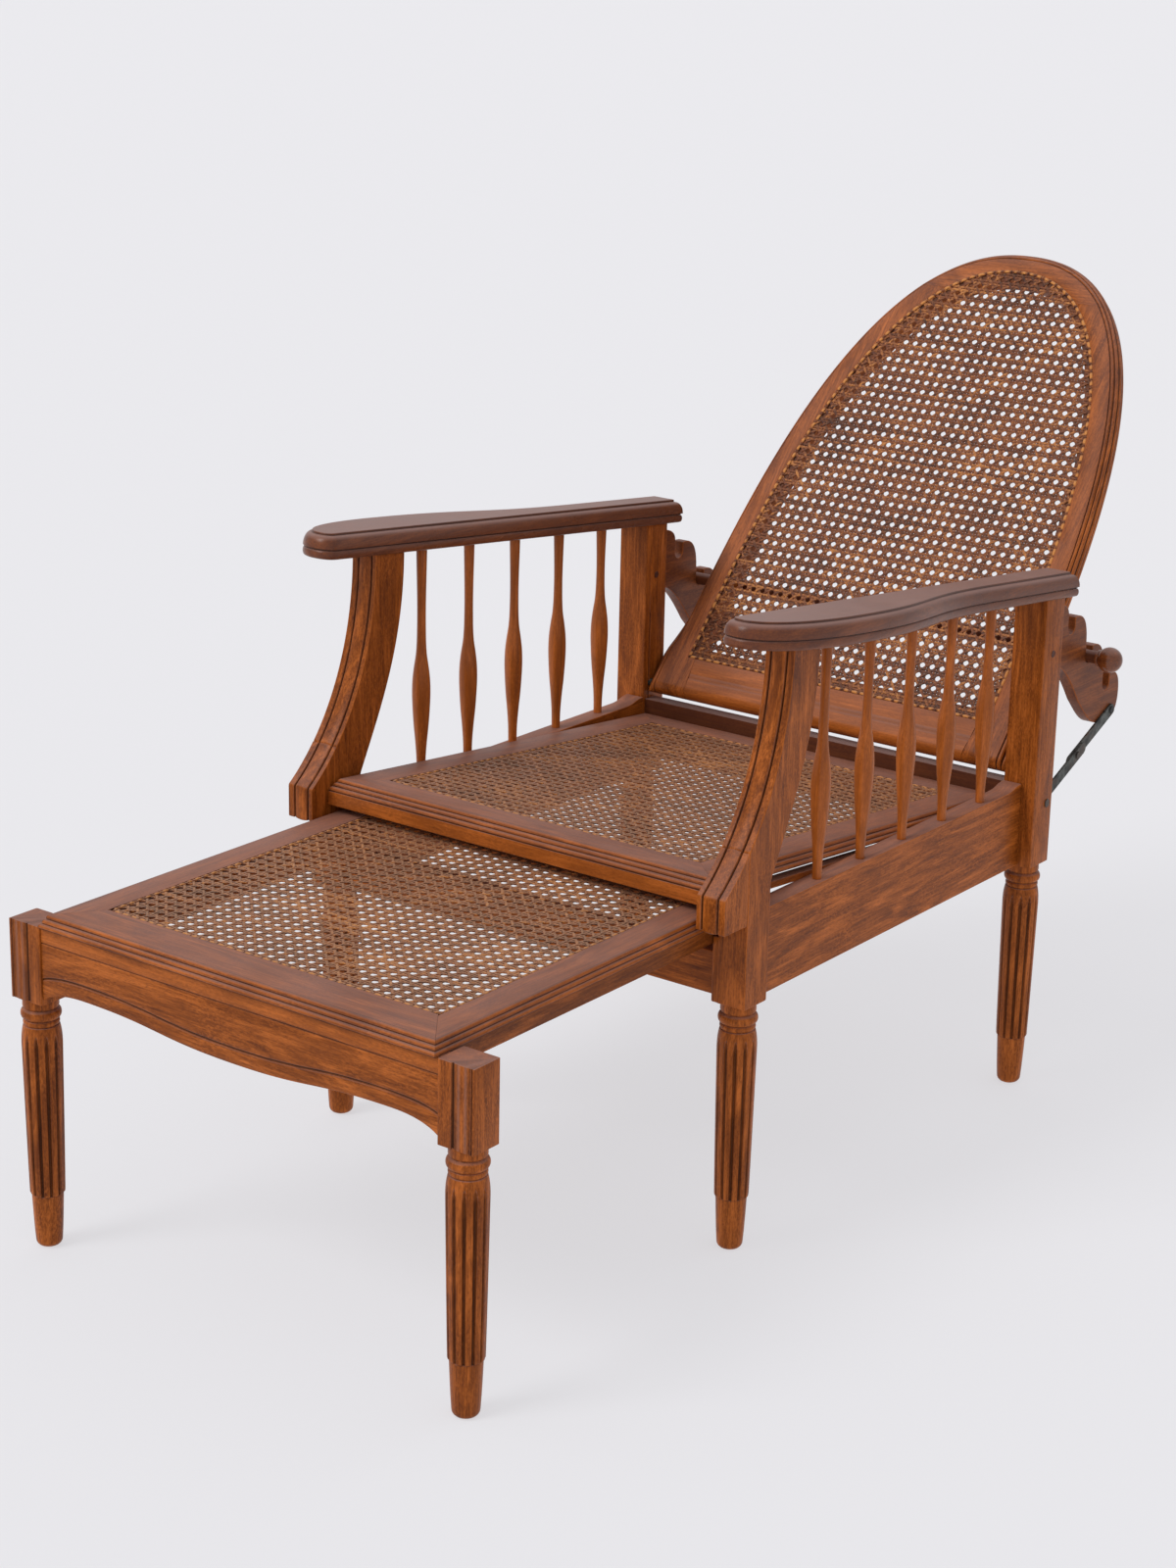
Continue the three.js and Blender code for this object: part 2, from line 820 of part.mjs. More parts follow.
// Bearer under each side of the seat, and guide strip for the footrest axle, both on the side rail
function seatBearer(side) {
  const bearer = block(
    postInner - glueGap - bearerWidth,
    postInner - glueGap,
    (frontHalf + glueGap - seatFront) / Math.cos(seatAngle),
    seatLength - seatMember / 2,
    -seatDepthSide - glueGap - bearerThickness,
    -seatDepthSide - glueGap,
  );
  bearer.translate(side < 0 ? -2 * postInner + 2 * glueGap + bearerWidth : 0, 0, 0);
  return onSeat(bearer);
}

function footrestGuide(side) {
  const inner = footrestArrisReach + guideGap;
  const outer = postInner - glueGap;
  const top = -axleRadius - glueGap;
  const strip = block(inner, outer, -axleRadius, guideRun + axleRadius, top - guideHeight, top);
  strip.translate(side < 0 ? -inner - outer : 0, 0, 0);
  strip.rotateX(-seatAngle);
  strip.translate(0, axleBack, axleHeight);
  return strip;
}

// Footrest, drawn with its top surface at zero and its front arris at zero
const footrestLength = footrestTail - footrestFront;

function onFootrest(geometry) {
  geometry.translate(0, footrestFront, footrestTop);
  return geometry;
}

function footrestSide(side) {
  const member = frameMember(
    memberProfile(footrestMemberSide, footrestDepth, footrestReedOut, 0),
    footrestLength,
    footrestMemberFront / footrestMemberSide,
    side * Math.PI / 2,
    side * footrestArrisReach,
    footrestLength / 2,
  );
  const radius = axleRadius + axleClearance;
  const bore = rodAcross(radius, -postInner, postInner, axleBack, axleHeight, axleSides);
  const apronSpace = block(
    -postInner,
    postInner,
    2 * footrestFront,
    apronFace + apronThickness + glueGap,
    0,
    footrestTop - reedDrop,
  );
  return cut(solid(onFootrest(member)), solid(bore), solid(apronSpace));
}

function footrestEnd(turn, y, depth, faceInset) {
  return onFootrest(frameMember(
    memberProfile(
      footrestMemberFront,
      depth,
      footrestReedOut * footrestMemberFront / footrestMemberSide,
      faceInset,
    ),
    2 * footrestArrisReach,
    footrestMemberSide / footrestMemberFront,
    turn,
    0,
    y,
  ));
}

function footrestCane() {
  const reach = footrestArrisReach - footrestMemberSide + caneRebate - netGap;
  const low = footrestMemberFront - caneRebate + netGap;
  const net = rectangularNet(reach, low, footrestLength - low, footrestNetColumns, footrestNetRows);
  return onFootrest(geometryOf(net));
}

const footrestHalf = footrestBlockDepth / 2;
const footrestLegCentre = footrestBlockInner + footrestBlockWidth / 2;
const apronTop = footrestTop - reedDrop - glueGap;
const apronFace = footrestLegLine - footrestHalf + apronSetBack;

// Apron with a shaped lower edge: low in the middle, a cusp near each leg, lower again at the legs
function footrestApron() {
  const reach = footrestBlockInner - glueGap;
  const shape = new THREE.Shape();
  const cuspReach = reach * apronCuspShare;
  const heelReach = reach * apronHeelShare;
  const centre = apronTop - apronCentreDrop;
  const cusp = apronTop - apronCuspDrop;
  const heel = apronTop - apronHeelDrop;
  shape.moveTo(-reach, apronTop);
  shape.lineTo(-reach, heel);
  shape.quadraticCurveTo(-heelReach, cusp, -cuspReach, cusp);
  shape.bezierCurveTo(-cuspReach / 2, cusp, -cuspReach / 2, centre, 0, centre);
  shape.bezierCurveTo(cuspReach / 2, centre, cuspReach / 2, cusp, cuspReach, cusp);
  shape.quadraticCurveTo(heelReach, cusp, reach, heel);
  shape.lineTo(reach, apronTop);
  return frontBoard(shape, apronThickness, apronFace);
}

function footrestLeg(side) {
  const top = solid(block(
    footrestBlockInner,
    footrestBlockInner + footrestBlockWidth,
    footrestLegLine - footrestHalf,
    footrestLegLine + footrestHalf,
    legHeight,
    footrestBlockTop - glueGap,
  ));
  return handed(side, join(legTurning.translate([footrestLegCentre, footrestLegLine, 0]), top));
}

function footrestAxle() {
  const reach = postInner - glueGap;
  return rodAcross(axleRadius, -reach, reach, axleBack, axleHeight, axleSides);
}

// Backrest, in its own plane: x across, z up the back, y from its front face to its rear face
function ogive(reach, height, sidePower, crownPower, low) {
  const start = Math.asin(Math.pow(low / height, sidePower / 2));
  const points = [];
  for (let i = 0; i <= arcSteps; i += 1) {
    const turn = start + (Math.PI / 2 - start) * (i / arcSteps);
    const x = i === arcSteps ? 0 : reach * Math.pow(Math.cos(turn), 2 / crownPower);
    points.push([x, height * Math.pow(Math.sin(turn), 2 / sidePower)]);
  }
  return points;
}

const mirrored = (points) => points.map(([x, z]) => [-x, z]).reverse();
function backOutline(step) {
  return ogive(backReach - step, backHeight - step, backSidePower, backCrownPower, earBlend);
}

// The window of the back is an arch on a straight foot: the recess for the cane, or the way through
function windowOutline(reach, height, low) {
  const arch = ogive(reach, height, windowSidePower, windowCrownPower, low);
  return [[reach, low], ...arch.slice(1)];
}

const recess = windowOutline(recessReach, recessHeight, recessBottom);
const opening = windowOutline(openingReach, openingHeight, openingBottom);

function cutOut(shape, half) {
  const around = [...half, ...mirrored(half).slice(1)];
  shape.holes.push(new THREE.Path(around.map(([x, z]) => new THREE.Vector2(x, z))));
}

// The whole back frame as one ring of a given outer step and window, between two depths
function backLayer(step, window, front, rear) {
  const half = backThickness / 2;
  const outer = [
    [earReach - step, -half],
    [earReach - step, earTop],
    ...backOutline(step),
  ];
  const shape = outline([...outer, ...mirrored(outer).slice(1)]);
  cutOut(shape, window);
  return solid(frontBoard(shape, rear - front, front));
}

// Envelope that rounds the lower edge about the pivot
function roundedFoot() {
  const half = backThickness / 2;
  const points = [
    [half, backHeight + overrun],
    [-half, backHeight + overrun],
    ...arcPoints(0, 0, half, Math.PI, 2 * Math.PI, notchSteps + notchSteps),
  ];
  const envelope = sideBoard(outline(points.reverse()), 2 * postInner, 0);
  envelope.translate(0, half, 0);
  return solid(envelope);
}

const backRing = join(
  backLayer(backStep, recess, 0, rebateDepth + joinLap),
  backLayer(backStep, opening, rebateDepth, backStepDepth + joinLap),
  backLayer(0, opening, backStepDepth, backThickness),
).intersect(roundedFoot());

function backWindow(points) {
  return solid(frontBoard(outline(points), backThickness + 2 * overrun, -overrun));
}

function onBack(manifold) {
  const geometry = geometryOf(manifold);
  geometry.translate(0, -backThickness / 2, 0);
  geometry.rotateX(-leanAngle);
  geometry.translate(0, pivotBack, pivotHeight);
  return geometry;
}

function backStile(side) {
  const above = backWindow([
    [stileJointFoot + glueGap / 2, -backThickness],
    [postInner, -backThickness],
    [postInner, scarfHeight - glueGap / 2],
    [glueGap, scarfHeight - glueGap / 2],
    [glueGap, openingBottom + overrun],
    [stileJointHead + glueGap / 2, openingBottom + overrun],
  ]);
  const bore = rodAcross(
    pivotPinRadius + pinClearance,
    earReach - pivotPinDepth - overrun,
    postInner,
    backThickness / 2,
    0,
    pinSides,
  );
  const stile = cut(backRing.intersect(above), solid(bore));
  return onBack(handed(side, stile));
}

function backBottomRail() {
  const window = backWindow([
    [-stileJointFoot + glueGap / 2, -backThickness],
    [stileJointFoot - glueGap / 2, -backThickness],
    [stileJointHead - glueGap / 2, openingBottom + overrun],
    [-stileJointHead + glueGap / 2, openingBottom + overrun],
  ]);
  return onBack(backRing.intersect(window));
}

function backCrest() {
  const low = scarfHeight + glueGap / 2;
  const high = backHeight + overrun;
  const window = [[-postInner, low], [postInner, low], [postInner, high], [-postInner, high]];
  return onBack(backRing.intersect(backWindow(window)));
}

function insideOpening(x, z) {
  const side = Math.pow(Math.max(z, 0) / (openingHeight - backNetMargin), windowSidePower);
  return side + Math.pow(Math.abs(x) / (openingReach - backNetMargin), windowCrownPower) < 1;
}

function backCane() {
  const edge = windowOutline(recessReach - netGap, recessHeight - netGap, recessBottom + netGap);
  const shape = outline([...edge, ...mirrored(edge).slice(1)]);
  const half = backNetPitch * (1 - netBarShare) / 2;
  const gaps = [];
  for (let z = openingBottom + backNetMargin + half; z < openingHeight; z += backNetPitch) {
    for (let column = 0; column * backNetPitch < openingReach; column += 1) {
      const x = column * backNetPitch;
      const fits = insideOpening(x + half, z + half);
      if (fits) gaps.push([x, z, half, half]);
      if (fits && column > 0) gaps.push([-x, z, half, half]);
    }
  }
  const turned = geometryOf(netPanel(shape, gaps)).applyMatrix4(facingBasis);
  return onBack(solid(turned));
}

function pivotPin(side) {
  const near = earReach - pivotPinDepth;
  const far = postInner + pivotPinDepth - glueGap;
  return sideRod(side, pivotPinRadius, near, far, pivotBack, pivotHeight);
}

// Rest bar behind the back, lying in the second notch of each bracket
const barDepth = backThickness / 2 + barRadius + glueGap;
const barBack = pivotBack + barRise * Math.sin(leanAngle) + barDepth * Math.cos(leanAngle);
const barHeight = pivotHeight + barRise * Math.cos(leanAngle) - barDepth * Math.sin(leanAngle);
const notchHalf = barRadius + notchClearance;
const notchFloor = barHeight - barRadius - glueGap;

function restBar() {
  return rodAcross(barRadius, -barReach, barReach, barBack, barHeight, turnedSides);
}

function knob(side) {
  const ball = new THREE.SphereGeometry(knobRadius, turnedSides, spindleSides);
  ball.rotateZ(Math.PI / 2);
  ball.translate(side * knobReach, barBack, barHeight);
  const reach = barReach + glueGap;
  const socket = rodAcross(barRadius + glueGap, -reach, reach, barBack, barHeight, turnedSides);
  return cut(solid(ball), solid(socket));
}

// Rack bracket: a stepped top with three notches, each behind a rounded horn, over a curved belly
const notchFronts = [-1, 0, 1].map((step) => barBack + step * notchStepBack - notchHalf);
const notchFloors = [-1, 0, 1].map((step) => notchFloor - step * notchStepDown + notchHalf);

function bracketShape() {
  const shape = new THREE.Shape();
  const root = rearPostBack + glueGap;
  shape.moveTo(root, tenonBottom);
  shape.lineTo(rearPostBack - tenonLength, tenonBottom);
  shape.lineTo(rearPostBack - tenonLength, tenonTop);
  shape.lineTo(root, tenonTop);
  shape.lineTo(root, bracketTop);
  let crown = bracketTop;
  notchFronts.forEach((front, i) => {
    const floor = notchFloors[i];
    const rear = front + 2 * notchHalf;
    shape.quadraticCurveTo(front, crown, front, floor + hornFall - notchHalf);
    shape.lineTo(front, floor);
    shape.absarc(front + notchHalf, floor, notchHalf, Math.PI, 2 * Math.PI, false);
    crown = floor + hornRise - notchHalf;
    shape.lineTo(rear, crown);
    shape.lineTo(rear + hornWidth, crown);
  });
  const tip = notchFronts[notchFronts.length - 1] + 2 * notchHalf + hornWidth;
  const end = tip + bracketEndRun;
  const belly = tip - bracketBellyRun / 2;
  const waist = tip - bracketWaistRun + bracketBellyPull / 2;
  const bellyHeight = bracketRoot - bracketBellyDrop;
  const waistHeight = bracketRoot - bracketWaistDrop;
  shape.quadraticCurveTo(end, crown, end, crown - hornNoseRise - hornWidth);
  shape.bezierCurveTo(end, bellyHeight, (end + belly) / 2, bellyHeight, belly, bellyHeight);
  shape.bezierCurveTo(
    belly - bracketBellyPull, bellyHeight,
    waist + bracketWaistPull, waistHeight - bracketWaistPull,
    waist, waistHeight,
  );
  shape.bezierCurveTo(
    waist - bracketWaistPull, bracketRoot - bracketShoulderDrop,
    root + bracketBellyPull, bracketRoot,
    root, bracketRoot,
  );
  shape.lineTo(root, tenonBottom);
  return shape;
}

function bracket(side) {
  const plate = solid(sideBoard(bracketShape(), bracketThickness, rearLegCentre));
  return handed(side, cut(plate, solid(pegHole())));
}

function peg(side) {
  return sideRod(side, pegRadius, postInner, rearPostOuter, wheelbase, pegHeight);
}

// Steel stay of two lapped links from the bracket's lower corner down to a bolt in the post
const stayTopBack = rearPostBack + stayTopRun;
const stayBoltBack = rearPostBack - stayBoltRun;
const stayAngle = Math.atan2(stayTopHeight - stayBoltHeight, stayTopBack - stayBoltBack);
const staySpan = Math.hypot(stayTopHeight - stayBoltHeight, stayTopBack - stayBoltBack);
const stayInnerFace = rearLegCentre + bracketThickness / 2 + glueGap;
const upperLinkCentre = stayInnerFace + stayThickness / 2;
const lowerLinkCentre = upperLinkCentre + stayThickness + glueGap;
const boltInnerEnd = lowerLinkCentre - stayThickness;

function linkShape(from, to, half) {
  const shape = new THREE.Shape();
  shape.absarc(from, 0, half, Math.PI / 2, 3 * Math.PI / 2, false);
  shape.absarc(to, 0, half, -Math.PI / 2, Math.PI / 2, false);
  return shape;
}

function link(from, to, centre, half, thickness) {
  const geometry = extruded(linkShape(from, to, half), thickness);
  geometry.applyMatrix4(acrossBasis);
  geometry.translate(centre - thickness / 2, 0, 0);
  geometry.rotateX(stayAngle);
  geometry.translate(0, stayBoltBack, stayBoltHeight);
  return geometry;
}

function stayPoint(along) {
  return [stayBoltBack + along * Math.cos(stayAngle), stayBoltHeight + along * Math.sin(stayAngle)];
}

const knee = staySpan * stayKneeShare;
const stayHalf = stayWidth / 2;

function rivet(centre, along) {
  const [back, height] = stayPoint(along);
  const head = centre + stayThickness / 2 + rivetHead;
  return solid(rodAcross(rivetRadius, centre, head, back, height, pinSides));
}

function stayUpper(side) {
  const strap = solid(link(knee - stayLap, staySpan, upperLinkCentre, stayHalf, stayThickness));
  return handed(side, join(strap, rivet(upperLinkCentre, staySpan)));
}

function stayLower(side) {
  const strap = solid(link(0, knee + stayLap, lowerLinkCentre, stayHalf, stayThickness));
  const hole = rodAcross(boltRadius + glueGap, 0, 2 * postInner, stayBoltBack, stayBoltHeight, pinSides);
  return handed(side, cut(join(strap, rivet(lowerLinkCentre, knee)), solid(hole)));
}

function staySlot() {
  return link(0, staySpan, lowerLinkCentre, stayHalf + glueGap, stayThickness + 2 * glueGap);
}

function stayBolt(side) {
  const face = rearPostOuter + glueGap;
  const shank = sideRod(side, boltRadius, boltInnerEnd, face + joinLap, stayBoltBack, stayBoltHeight);
  const head = sideRod(side, boltHeadRadius, face, face + boltHead, stayBoltBack, stayBoltHeight);
  return join(solid(shank), solid(head));
}

// The scene graph
const chair = new THREE.Group();

function add(name, shape, finish) {
  const geometry = shape.isBufferGeometry ? shape : geometryOf(shape);
  const mesh = new THREE.Mesh(geometry, new THREE.MeshStandardMaterial(finish));
  mesh.name = name;
  chair.add(mesh);
}

const sides = [[-1, 'left'], [1, 'right']];

sides.forEach(([side, hand]) => {
  add(`front_leg_${hand}`, frontLeg(side), walnutFinish);
  add(`arm_toe_${hand}`, toe(side), walnutFinish);
  add(`rear_leg_${hand}`, rearLeg(side), walnutFinish);
  add(`side_rail_${hand}`, sideRail(side), walnutFinish);
  add(`arm_${hand}`, arm(side), darkFinish);
  for (let number = 0; number < spindleCount; number += 1) {
    add(`spindle_${hand}_${number + 1}`, spindle(side, number), walnutFinish);
  }
  add(`seat_bearer_${hand}`, seatBearer(side), walnutFinish);
  add(`footrest_guide_${hand}`, footrestGuide(side), walnutFinish);
});
const rearRailCentre = rearPostFront + rearRailSetBack + rearRailThickness / 2;
const frontRail = crossRail(frontRailThickness, frontBlockInner, 0, frontRailBottom, frontRailTop);
const rearRail = crossRail(rearRailThickness, postInner, rearRailCentre, rearRailBottom, rearRailTop);
add('front_rail', frontRail, walnutFinish);
add('rear_rail', rearRail, walnutFinish);

const seatSideProfile = memberProfile(seatMember, seatDepthSide, reedOut, seatFaceInset);
const seatFrontProfile = memberProfile(seatMember, seatDepthFront, reedOut, seatFrontFaceInset);
const seatFrontMember = frameMember(seatFrontProfile, 2 * seatArrisReach, 1, 0, 0, 0);
const seatRearMember = frameMember(seatSideProfile, 2 * seatArrisReach, 1, Math.PI, 0, seatLength);
add('seat_frame_front', onSeat(seatFrontMember), walnutFinish);
add('seat_frame_rear', onSeat(seatRearMember), walnutFinish);
sides.forEach(([side, hand]) => {
  const member = frameMember(
    seatSideProfile,
    seatLength,
    1,
    side * Math.PI / 2,
    side * seatArrisReach,
    seatLength / 2,
  );
  add(`seat_frame_${hand}`, onSeat(member), walnutFinish);
});
add('seat_cane', onSeat(seatCane()), caneFinish);

const apronInset = apronFace + apronThickness + glueGap - footrestFront;
add('footrest_frame_front', footrestEnd(0, 0, footrestDepth, apronInset), walnutFinish);
add('footrest_frame_rear', footrestEnd(Math.PI, footrestLength, footrestDepthRear, 0), walnutFinish);
sides.forEach(([side, hand]) => {
  add(`footrest_frame_${hand}`, footrestSide(side), walnutFinish);
  add(`footrest_leg_${hand}`, footrestLeg(side), walnutFinish);
});
add('footrest_apron', footrestApron(), walnutFinish);
add('footrest_cane', footrestCane(), caneFinish);
add('footrest_axle', footrestAxle(), walnutFinish);

sides.forEach(([side, hand]) => {
  add(`back_stile_${hand}`, backStile(side), walnutFinish);
  add(`back_pivot_pin_${hand}`, pivotPin(side), steelFinish);
});
add('back_crest', backCrest(), walnutFinish);
add('back_bottom_rail', backBottomRail(), walnutFinish);
add('back_cane', backCane(), caneFinish);

sides.forEach(([side, hand]) => {
  add(`rack_bracket_${hand}`, bracket(side), walnutFinish);
  add(`rack_peg_${hand}`, peg(side), darkFinish);
  add(`stay_upper_${hand}`, stayUpper(side), steelFinish);
  add(`stay_lower_${hand}`, stayLower(side), steelFinish);
  add(`stay_bolt_${hand}`, stayBolt(side), steelFinish);
  add(`bar_knob_${hand}`, knob(side), walnutFinish);
});
add('rest_bar', restBar(), walnutFinish);

const box = new THREE.Box3().setFromObject(chair);
chair.position.y = -(box.min.y + box.max.y) / 2;

export default chair;
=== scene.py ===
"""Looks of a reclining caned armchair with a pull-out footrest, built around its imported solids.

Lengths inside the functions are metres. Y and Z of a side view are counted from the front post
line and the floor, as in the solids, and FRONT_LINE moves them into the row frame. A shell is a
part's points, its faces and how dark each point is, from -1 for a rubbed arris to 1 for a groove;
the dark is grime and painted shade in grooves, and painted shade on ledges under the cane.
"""

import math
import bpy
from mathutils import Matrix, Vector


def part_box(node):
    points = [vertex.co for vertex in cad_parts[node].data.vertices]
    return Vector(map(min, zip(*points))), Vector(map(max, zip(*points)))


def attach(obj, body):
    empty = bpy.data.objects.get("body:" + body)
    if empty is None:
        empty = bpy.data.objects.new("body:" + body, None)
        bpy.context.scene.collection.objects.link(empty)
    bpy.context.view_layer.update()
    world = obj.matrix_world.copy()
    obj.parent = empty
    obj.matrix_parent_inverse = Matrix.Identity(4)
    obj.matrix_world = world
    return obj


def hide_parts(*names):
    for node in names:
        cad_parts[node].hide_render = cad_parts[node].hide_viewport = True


bl_info = {
    "name": "Reclining caned armchair",
    "version": (1, 0, 0),
    "blender": (4, 5, 0),
    "location": "3D View > Sidebar > Armchair",
    "description": "Turned, moulded and caned pieces of a reclining armchair, its finishes and its studio",
    "category": "Object",
}

import bpy
import numpy as np
from mathutils import Matrix, Vector

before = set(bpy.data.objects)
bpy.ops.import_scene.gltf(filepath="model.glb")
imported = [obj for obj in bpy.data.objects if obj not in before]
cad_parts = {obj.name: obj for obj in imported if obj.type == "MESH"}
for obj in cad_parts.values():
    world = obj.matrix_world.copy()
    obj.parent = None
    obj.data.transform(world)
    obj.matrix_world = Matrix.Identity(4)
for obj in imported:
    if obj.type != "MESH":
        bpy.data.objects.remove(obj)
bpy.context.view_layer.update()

MM = 0.001
QUARTER = math.pi / 2
SIDES = {"left": -1, "right": 1}

# Legs, posts and arms. A pair of numbers is a place behind the front post line and a height.
WHEELBASE = 573 * MM
POST_HALF = 21 * MM
REAR_LEG, FRONT_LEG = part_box("rear_leg_right"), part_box("front_leg_right")
FRONT_LINE = REAR_LEG[1].y - WHEELBASE - POST_HALF
POST_INNER, POST_OUTER = REAR_LEG[0].x, REAR_LEG[1].x
BLOCK_INNER, SUPPORT_OUTER = FRONT_LEG[0].x, FRONT_LEG[1].x
LEG_HEIGHT = 276 * MM
ARM_SLOPE = math.atan(0.1065)
ARM_FRONT = (46 * MM, 648.5 * MM)
PEG_PLACE = (WHEELBASE, 529 * MM)

# Frames of the seat and the footrest: front arris, half width and length.
SEAT_SLOPE = math.atan(0.0925)
SEAT_FRONT = (-24 * MM, 412 * MM)
SEAT_REACH, SEAT_RUN = 246 * MM, 566 * MM / math.cos(SEAT_SLOPE)
FOOTREST_FRONT = (-456 * MM, 374.5 * MM)
FOOTREST_REACH, FOOTREST_RUN = 249 * MM, 508 * MM
APRON_TOP = 360.7 * MM

# Back: its lean and pivot, half its thickness, and half width, height, side and crown power of
# the arches |x / reach|^crown + |z / height|^side = 1.
BACK_LEAN = math.radians(40.8)
PIVOT = (567 * MM, 392 * MM)
BACK_HALF = 11.5 * MM
ARCHES = {
    "outer": (243 * MM, 675 * MM, 3.08, 2.26),
    "recess": (213 * MM, 644 * MM, 3.0, 2.2),
    "opening": (204 * MM, 630 * MM, 3.0, 2.2),
}

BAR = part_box("rest_bar")
BAR_CENTRE = (BAR[0] + BAR[1]) / 2
BAR_RADIUS = (BAR[1].z - BAR[0].z) / 2

# Depths at which a flute, the carving of a board and the groove of a post are darkest with grime
# and painted shade, and how pale an eased arris is.
FLUTE_DARK = 2.6 * MM
CARVING_DARK = 1.5 * MM
POST_GROOVE_DARK = 1.4 * MM
RUBBED = 0.8


# Shells of points.

def ring_faces(rows, columns, wrap=False):
    """Quads between rows of points. Each row closes on itself, and wrap joins the last to the first."""
    i = np.arange(rows if wrap else rows - 1)[:, None]
    j = np.arange(columns)[None, :]
    below = ((i + 1) % rows) * columns
    beside = (j + 1) % columns
    corners = (i * columns + j, i * columns + beside, below + beside, below + j)
    return np.stack(np.broadcast_arrays(*corners), -1).reshape(-1, 4)


def fan_volume(first, second, third):
    """Six times the volume under triangles: the sum of a . (b x c) over them."""
    return np.einsum("ij,ij->i", first, np.cross(second, third)).sum()


def shell(points, quads, caps=(), shade=None):
    """One closed surface: its points, its quads and flat caps turned outwards, and its darkness."""
    a, b, c, d = (points[quads[:, k]] for k in range(4))
    volume = fan_volume(a, b, c) + fan_volume(a, c, d)
    for cap in caps:
        ring = points[cap]
        volume += fan_volume(np.repeat(ring[:1], len(ring) - 2, 0), ring[1:-1], ring[2:])
    faces = [quads, *caps]
    if volume < 0:
        faces = [quads[:, ::-1], *(cap[::-1] for cap in caps)]
    dark = np.zeros(len(points)) if shade is None else np.broadcast_to(shade, points.shape[:1])
    return points, faces, dark


def tube(rings, shade):
    """Closed shell through rings of points, with a flat cap on the first and on the last."""
    stations, loop, _ = rings.shape
    quads = ring_faces(stations, loop)
    caps = [np.arange(loop)[::-1], np.arange(loop) + (stations - 1) * loop]
    return shell(rings.reshape(-1, 3), quads, caps, shade.reshape(-1))


def hoop(rings, shade):
    """The same with the last ring joined to the first, so there are no caps."""
    stations, loop, _ = rings.shape
    return shell(rings.reshape(-1, 3), ring_faces(stations, loop, wrap=True), (), shade.reshape(-1))


def turned(profile, centre, around=48, flutes=None):
    """Surface of revolution about a vertical line: a point at height h and angle a is
    (r(h) cos a, r(h) sin a, h), less flutes(h, a) from its radius, where profile lists (r, h)."""
    radius, height = np.asarray(profile, float).T
    angle = np.linspace(0, 2 * np.pi, around, endpoint=False)
    reach = np.broadcast_to(radius[:, None], (len(radius), around)).copy()
    dark = np.zeros_like(reach)
    if flutes is not None:
        depth = flutes(height[:, None], angle[None, :])
        reach -= depth
        # Flutes are painted darker with their depth: grime and painted shade in the hollows.
        dark = 0.8 * np.clip(depth / FLUTE_DARK, 0, 1) ** 1.2
    level = np.broadcast_to(height[:, None], reach.shape)
    rings = np.stack([reach * np.cos(angle), reach * np.sin(angle), level], -1)
    return tube(rings + np.array([centre[0], centre[1] + FRONT_LINE, 0]), dark)


def moved(part, change):
    """A shell whose points have gone through a change, with its faces still outwards."""
    points, faces, dark = part
    return shell(change(points), faces[0], faces[1:], dark)


def handed(part, side):
    """A right-hand shell for the side with that sign: on the left it is mirrored in X."""
    return part if side > 0 else moved(part, lambda points: points * np.array([-1, 1, 1]))


# Outlines.

def bezier(*points, steps=12):
    """Bezier curve of two, three or four points: the sum over k of C(n, k) (1 - t)^(n - k) t^k P_k."""
    t = np.linspace(0, 1, steps + 1)[:, None]
    order = len(points) - 1
    return sum(
        math.comb(order, k) * (1 - t) ** (order - k) * t**k * np.asarray(point, float)
        for k, point in enumerate(points)
    )


def chain(*runs):
    """Runs of points one after the other as one closed outline, without doubled points."""
    points = np.concatenate([np.atleast_2d(np.asarray(run, float)) for run in runs])
    apart = np.linalg.norm(points[:, :2] - np.roll(points, 1, 0)[:, :2], axis=1) > 0.02 * MM
    points = points[apart]
    after = np.roll(points, -1, 0)
    area = (points[:, 0] * after[:, 1] - after[:, 0] * points[:, 1]).sum()
    return points if area > 0 else points[::-1]


def soften(points, radius, steps=3, least=18):
    """Rounds each corner sharper than least degrees: between P - r u and P + r v, the two edge
    directions u and v, it runs along the parabola (1 - t)^2 A + 2 t (1 - t) P + t^2 B."""
    before = points - np.roll(points, 1, 0)
    after = np.roll(points, -1, 0) - points
    length_before = np.linalg.norm(before[:, :2], axis=1)
    length_after = np.linalg.norm(after[:, :2], axis=1)
    u = before[:, :2] / length_before[:, None]
    v = after[:, :2] / length_after[:, None]
    corner = np.einsum("ij,ij->i", u, v) < math.cos(math.radians(least))
    reach = np.minimum(radius, 0.45 * np.minimum(length_before, length_after))
    start = points - before * (reach / length_before)[:, None]
    end = points + after * (reach / length_after)[:, None]
    t = np.linspace(0, 1, steps + 1)[None, :, None]
    arcs = (1 - t) ** 2 * start[:, None] + 2 * t * (1 - t) * points[:, None] + t**2 * end[:, None]
    arcs[~corner] = points[~corner][:, None]
    keep = np.broadcast_to(corner[:, None], arcs.shape[:2]).copy()
    keep[:, 0] = True
    return arcs[keep]


def outward(points):
    """Offset direction of each corner of an outline, (m + n) / (1 + m . n) of its two edge normals."""
    edge = np.roll(points, -1, 0)[:, :2] - points[:, :2]
    normal = np.stack([edge[:, 1], -edge[:, 0]], -1) / np.linalg.norm(edge, axis=1)[:, None]
    before = np.roll(normal, 1, 0)
    return (before + normal) / np.maximum(1 + np.einsum("ij,ij->i", before, normal), 0.4)[:, None]


def eased(thickness, radius, steps=3):
    """Places across a board and how far its rim draws in there: a quarter circle at each face."""
    turn = np.linspace(0, np.pi / 2, steps + 1)
    across = radius * (1 - np.cos(turn))
    drawn = radius * (1 - np.sin(turn))
    return np.concatenate([across, thickness - across[::-1]]), np.concatenate([drawn, drawn[::-1]])


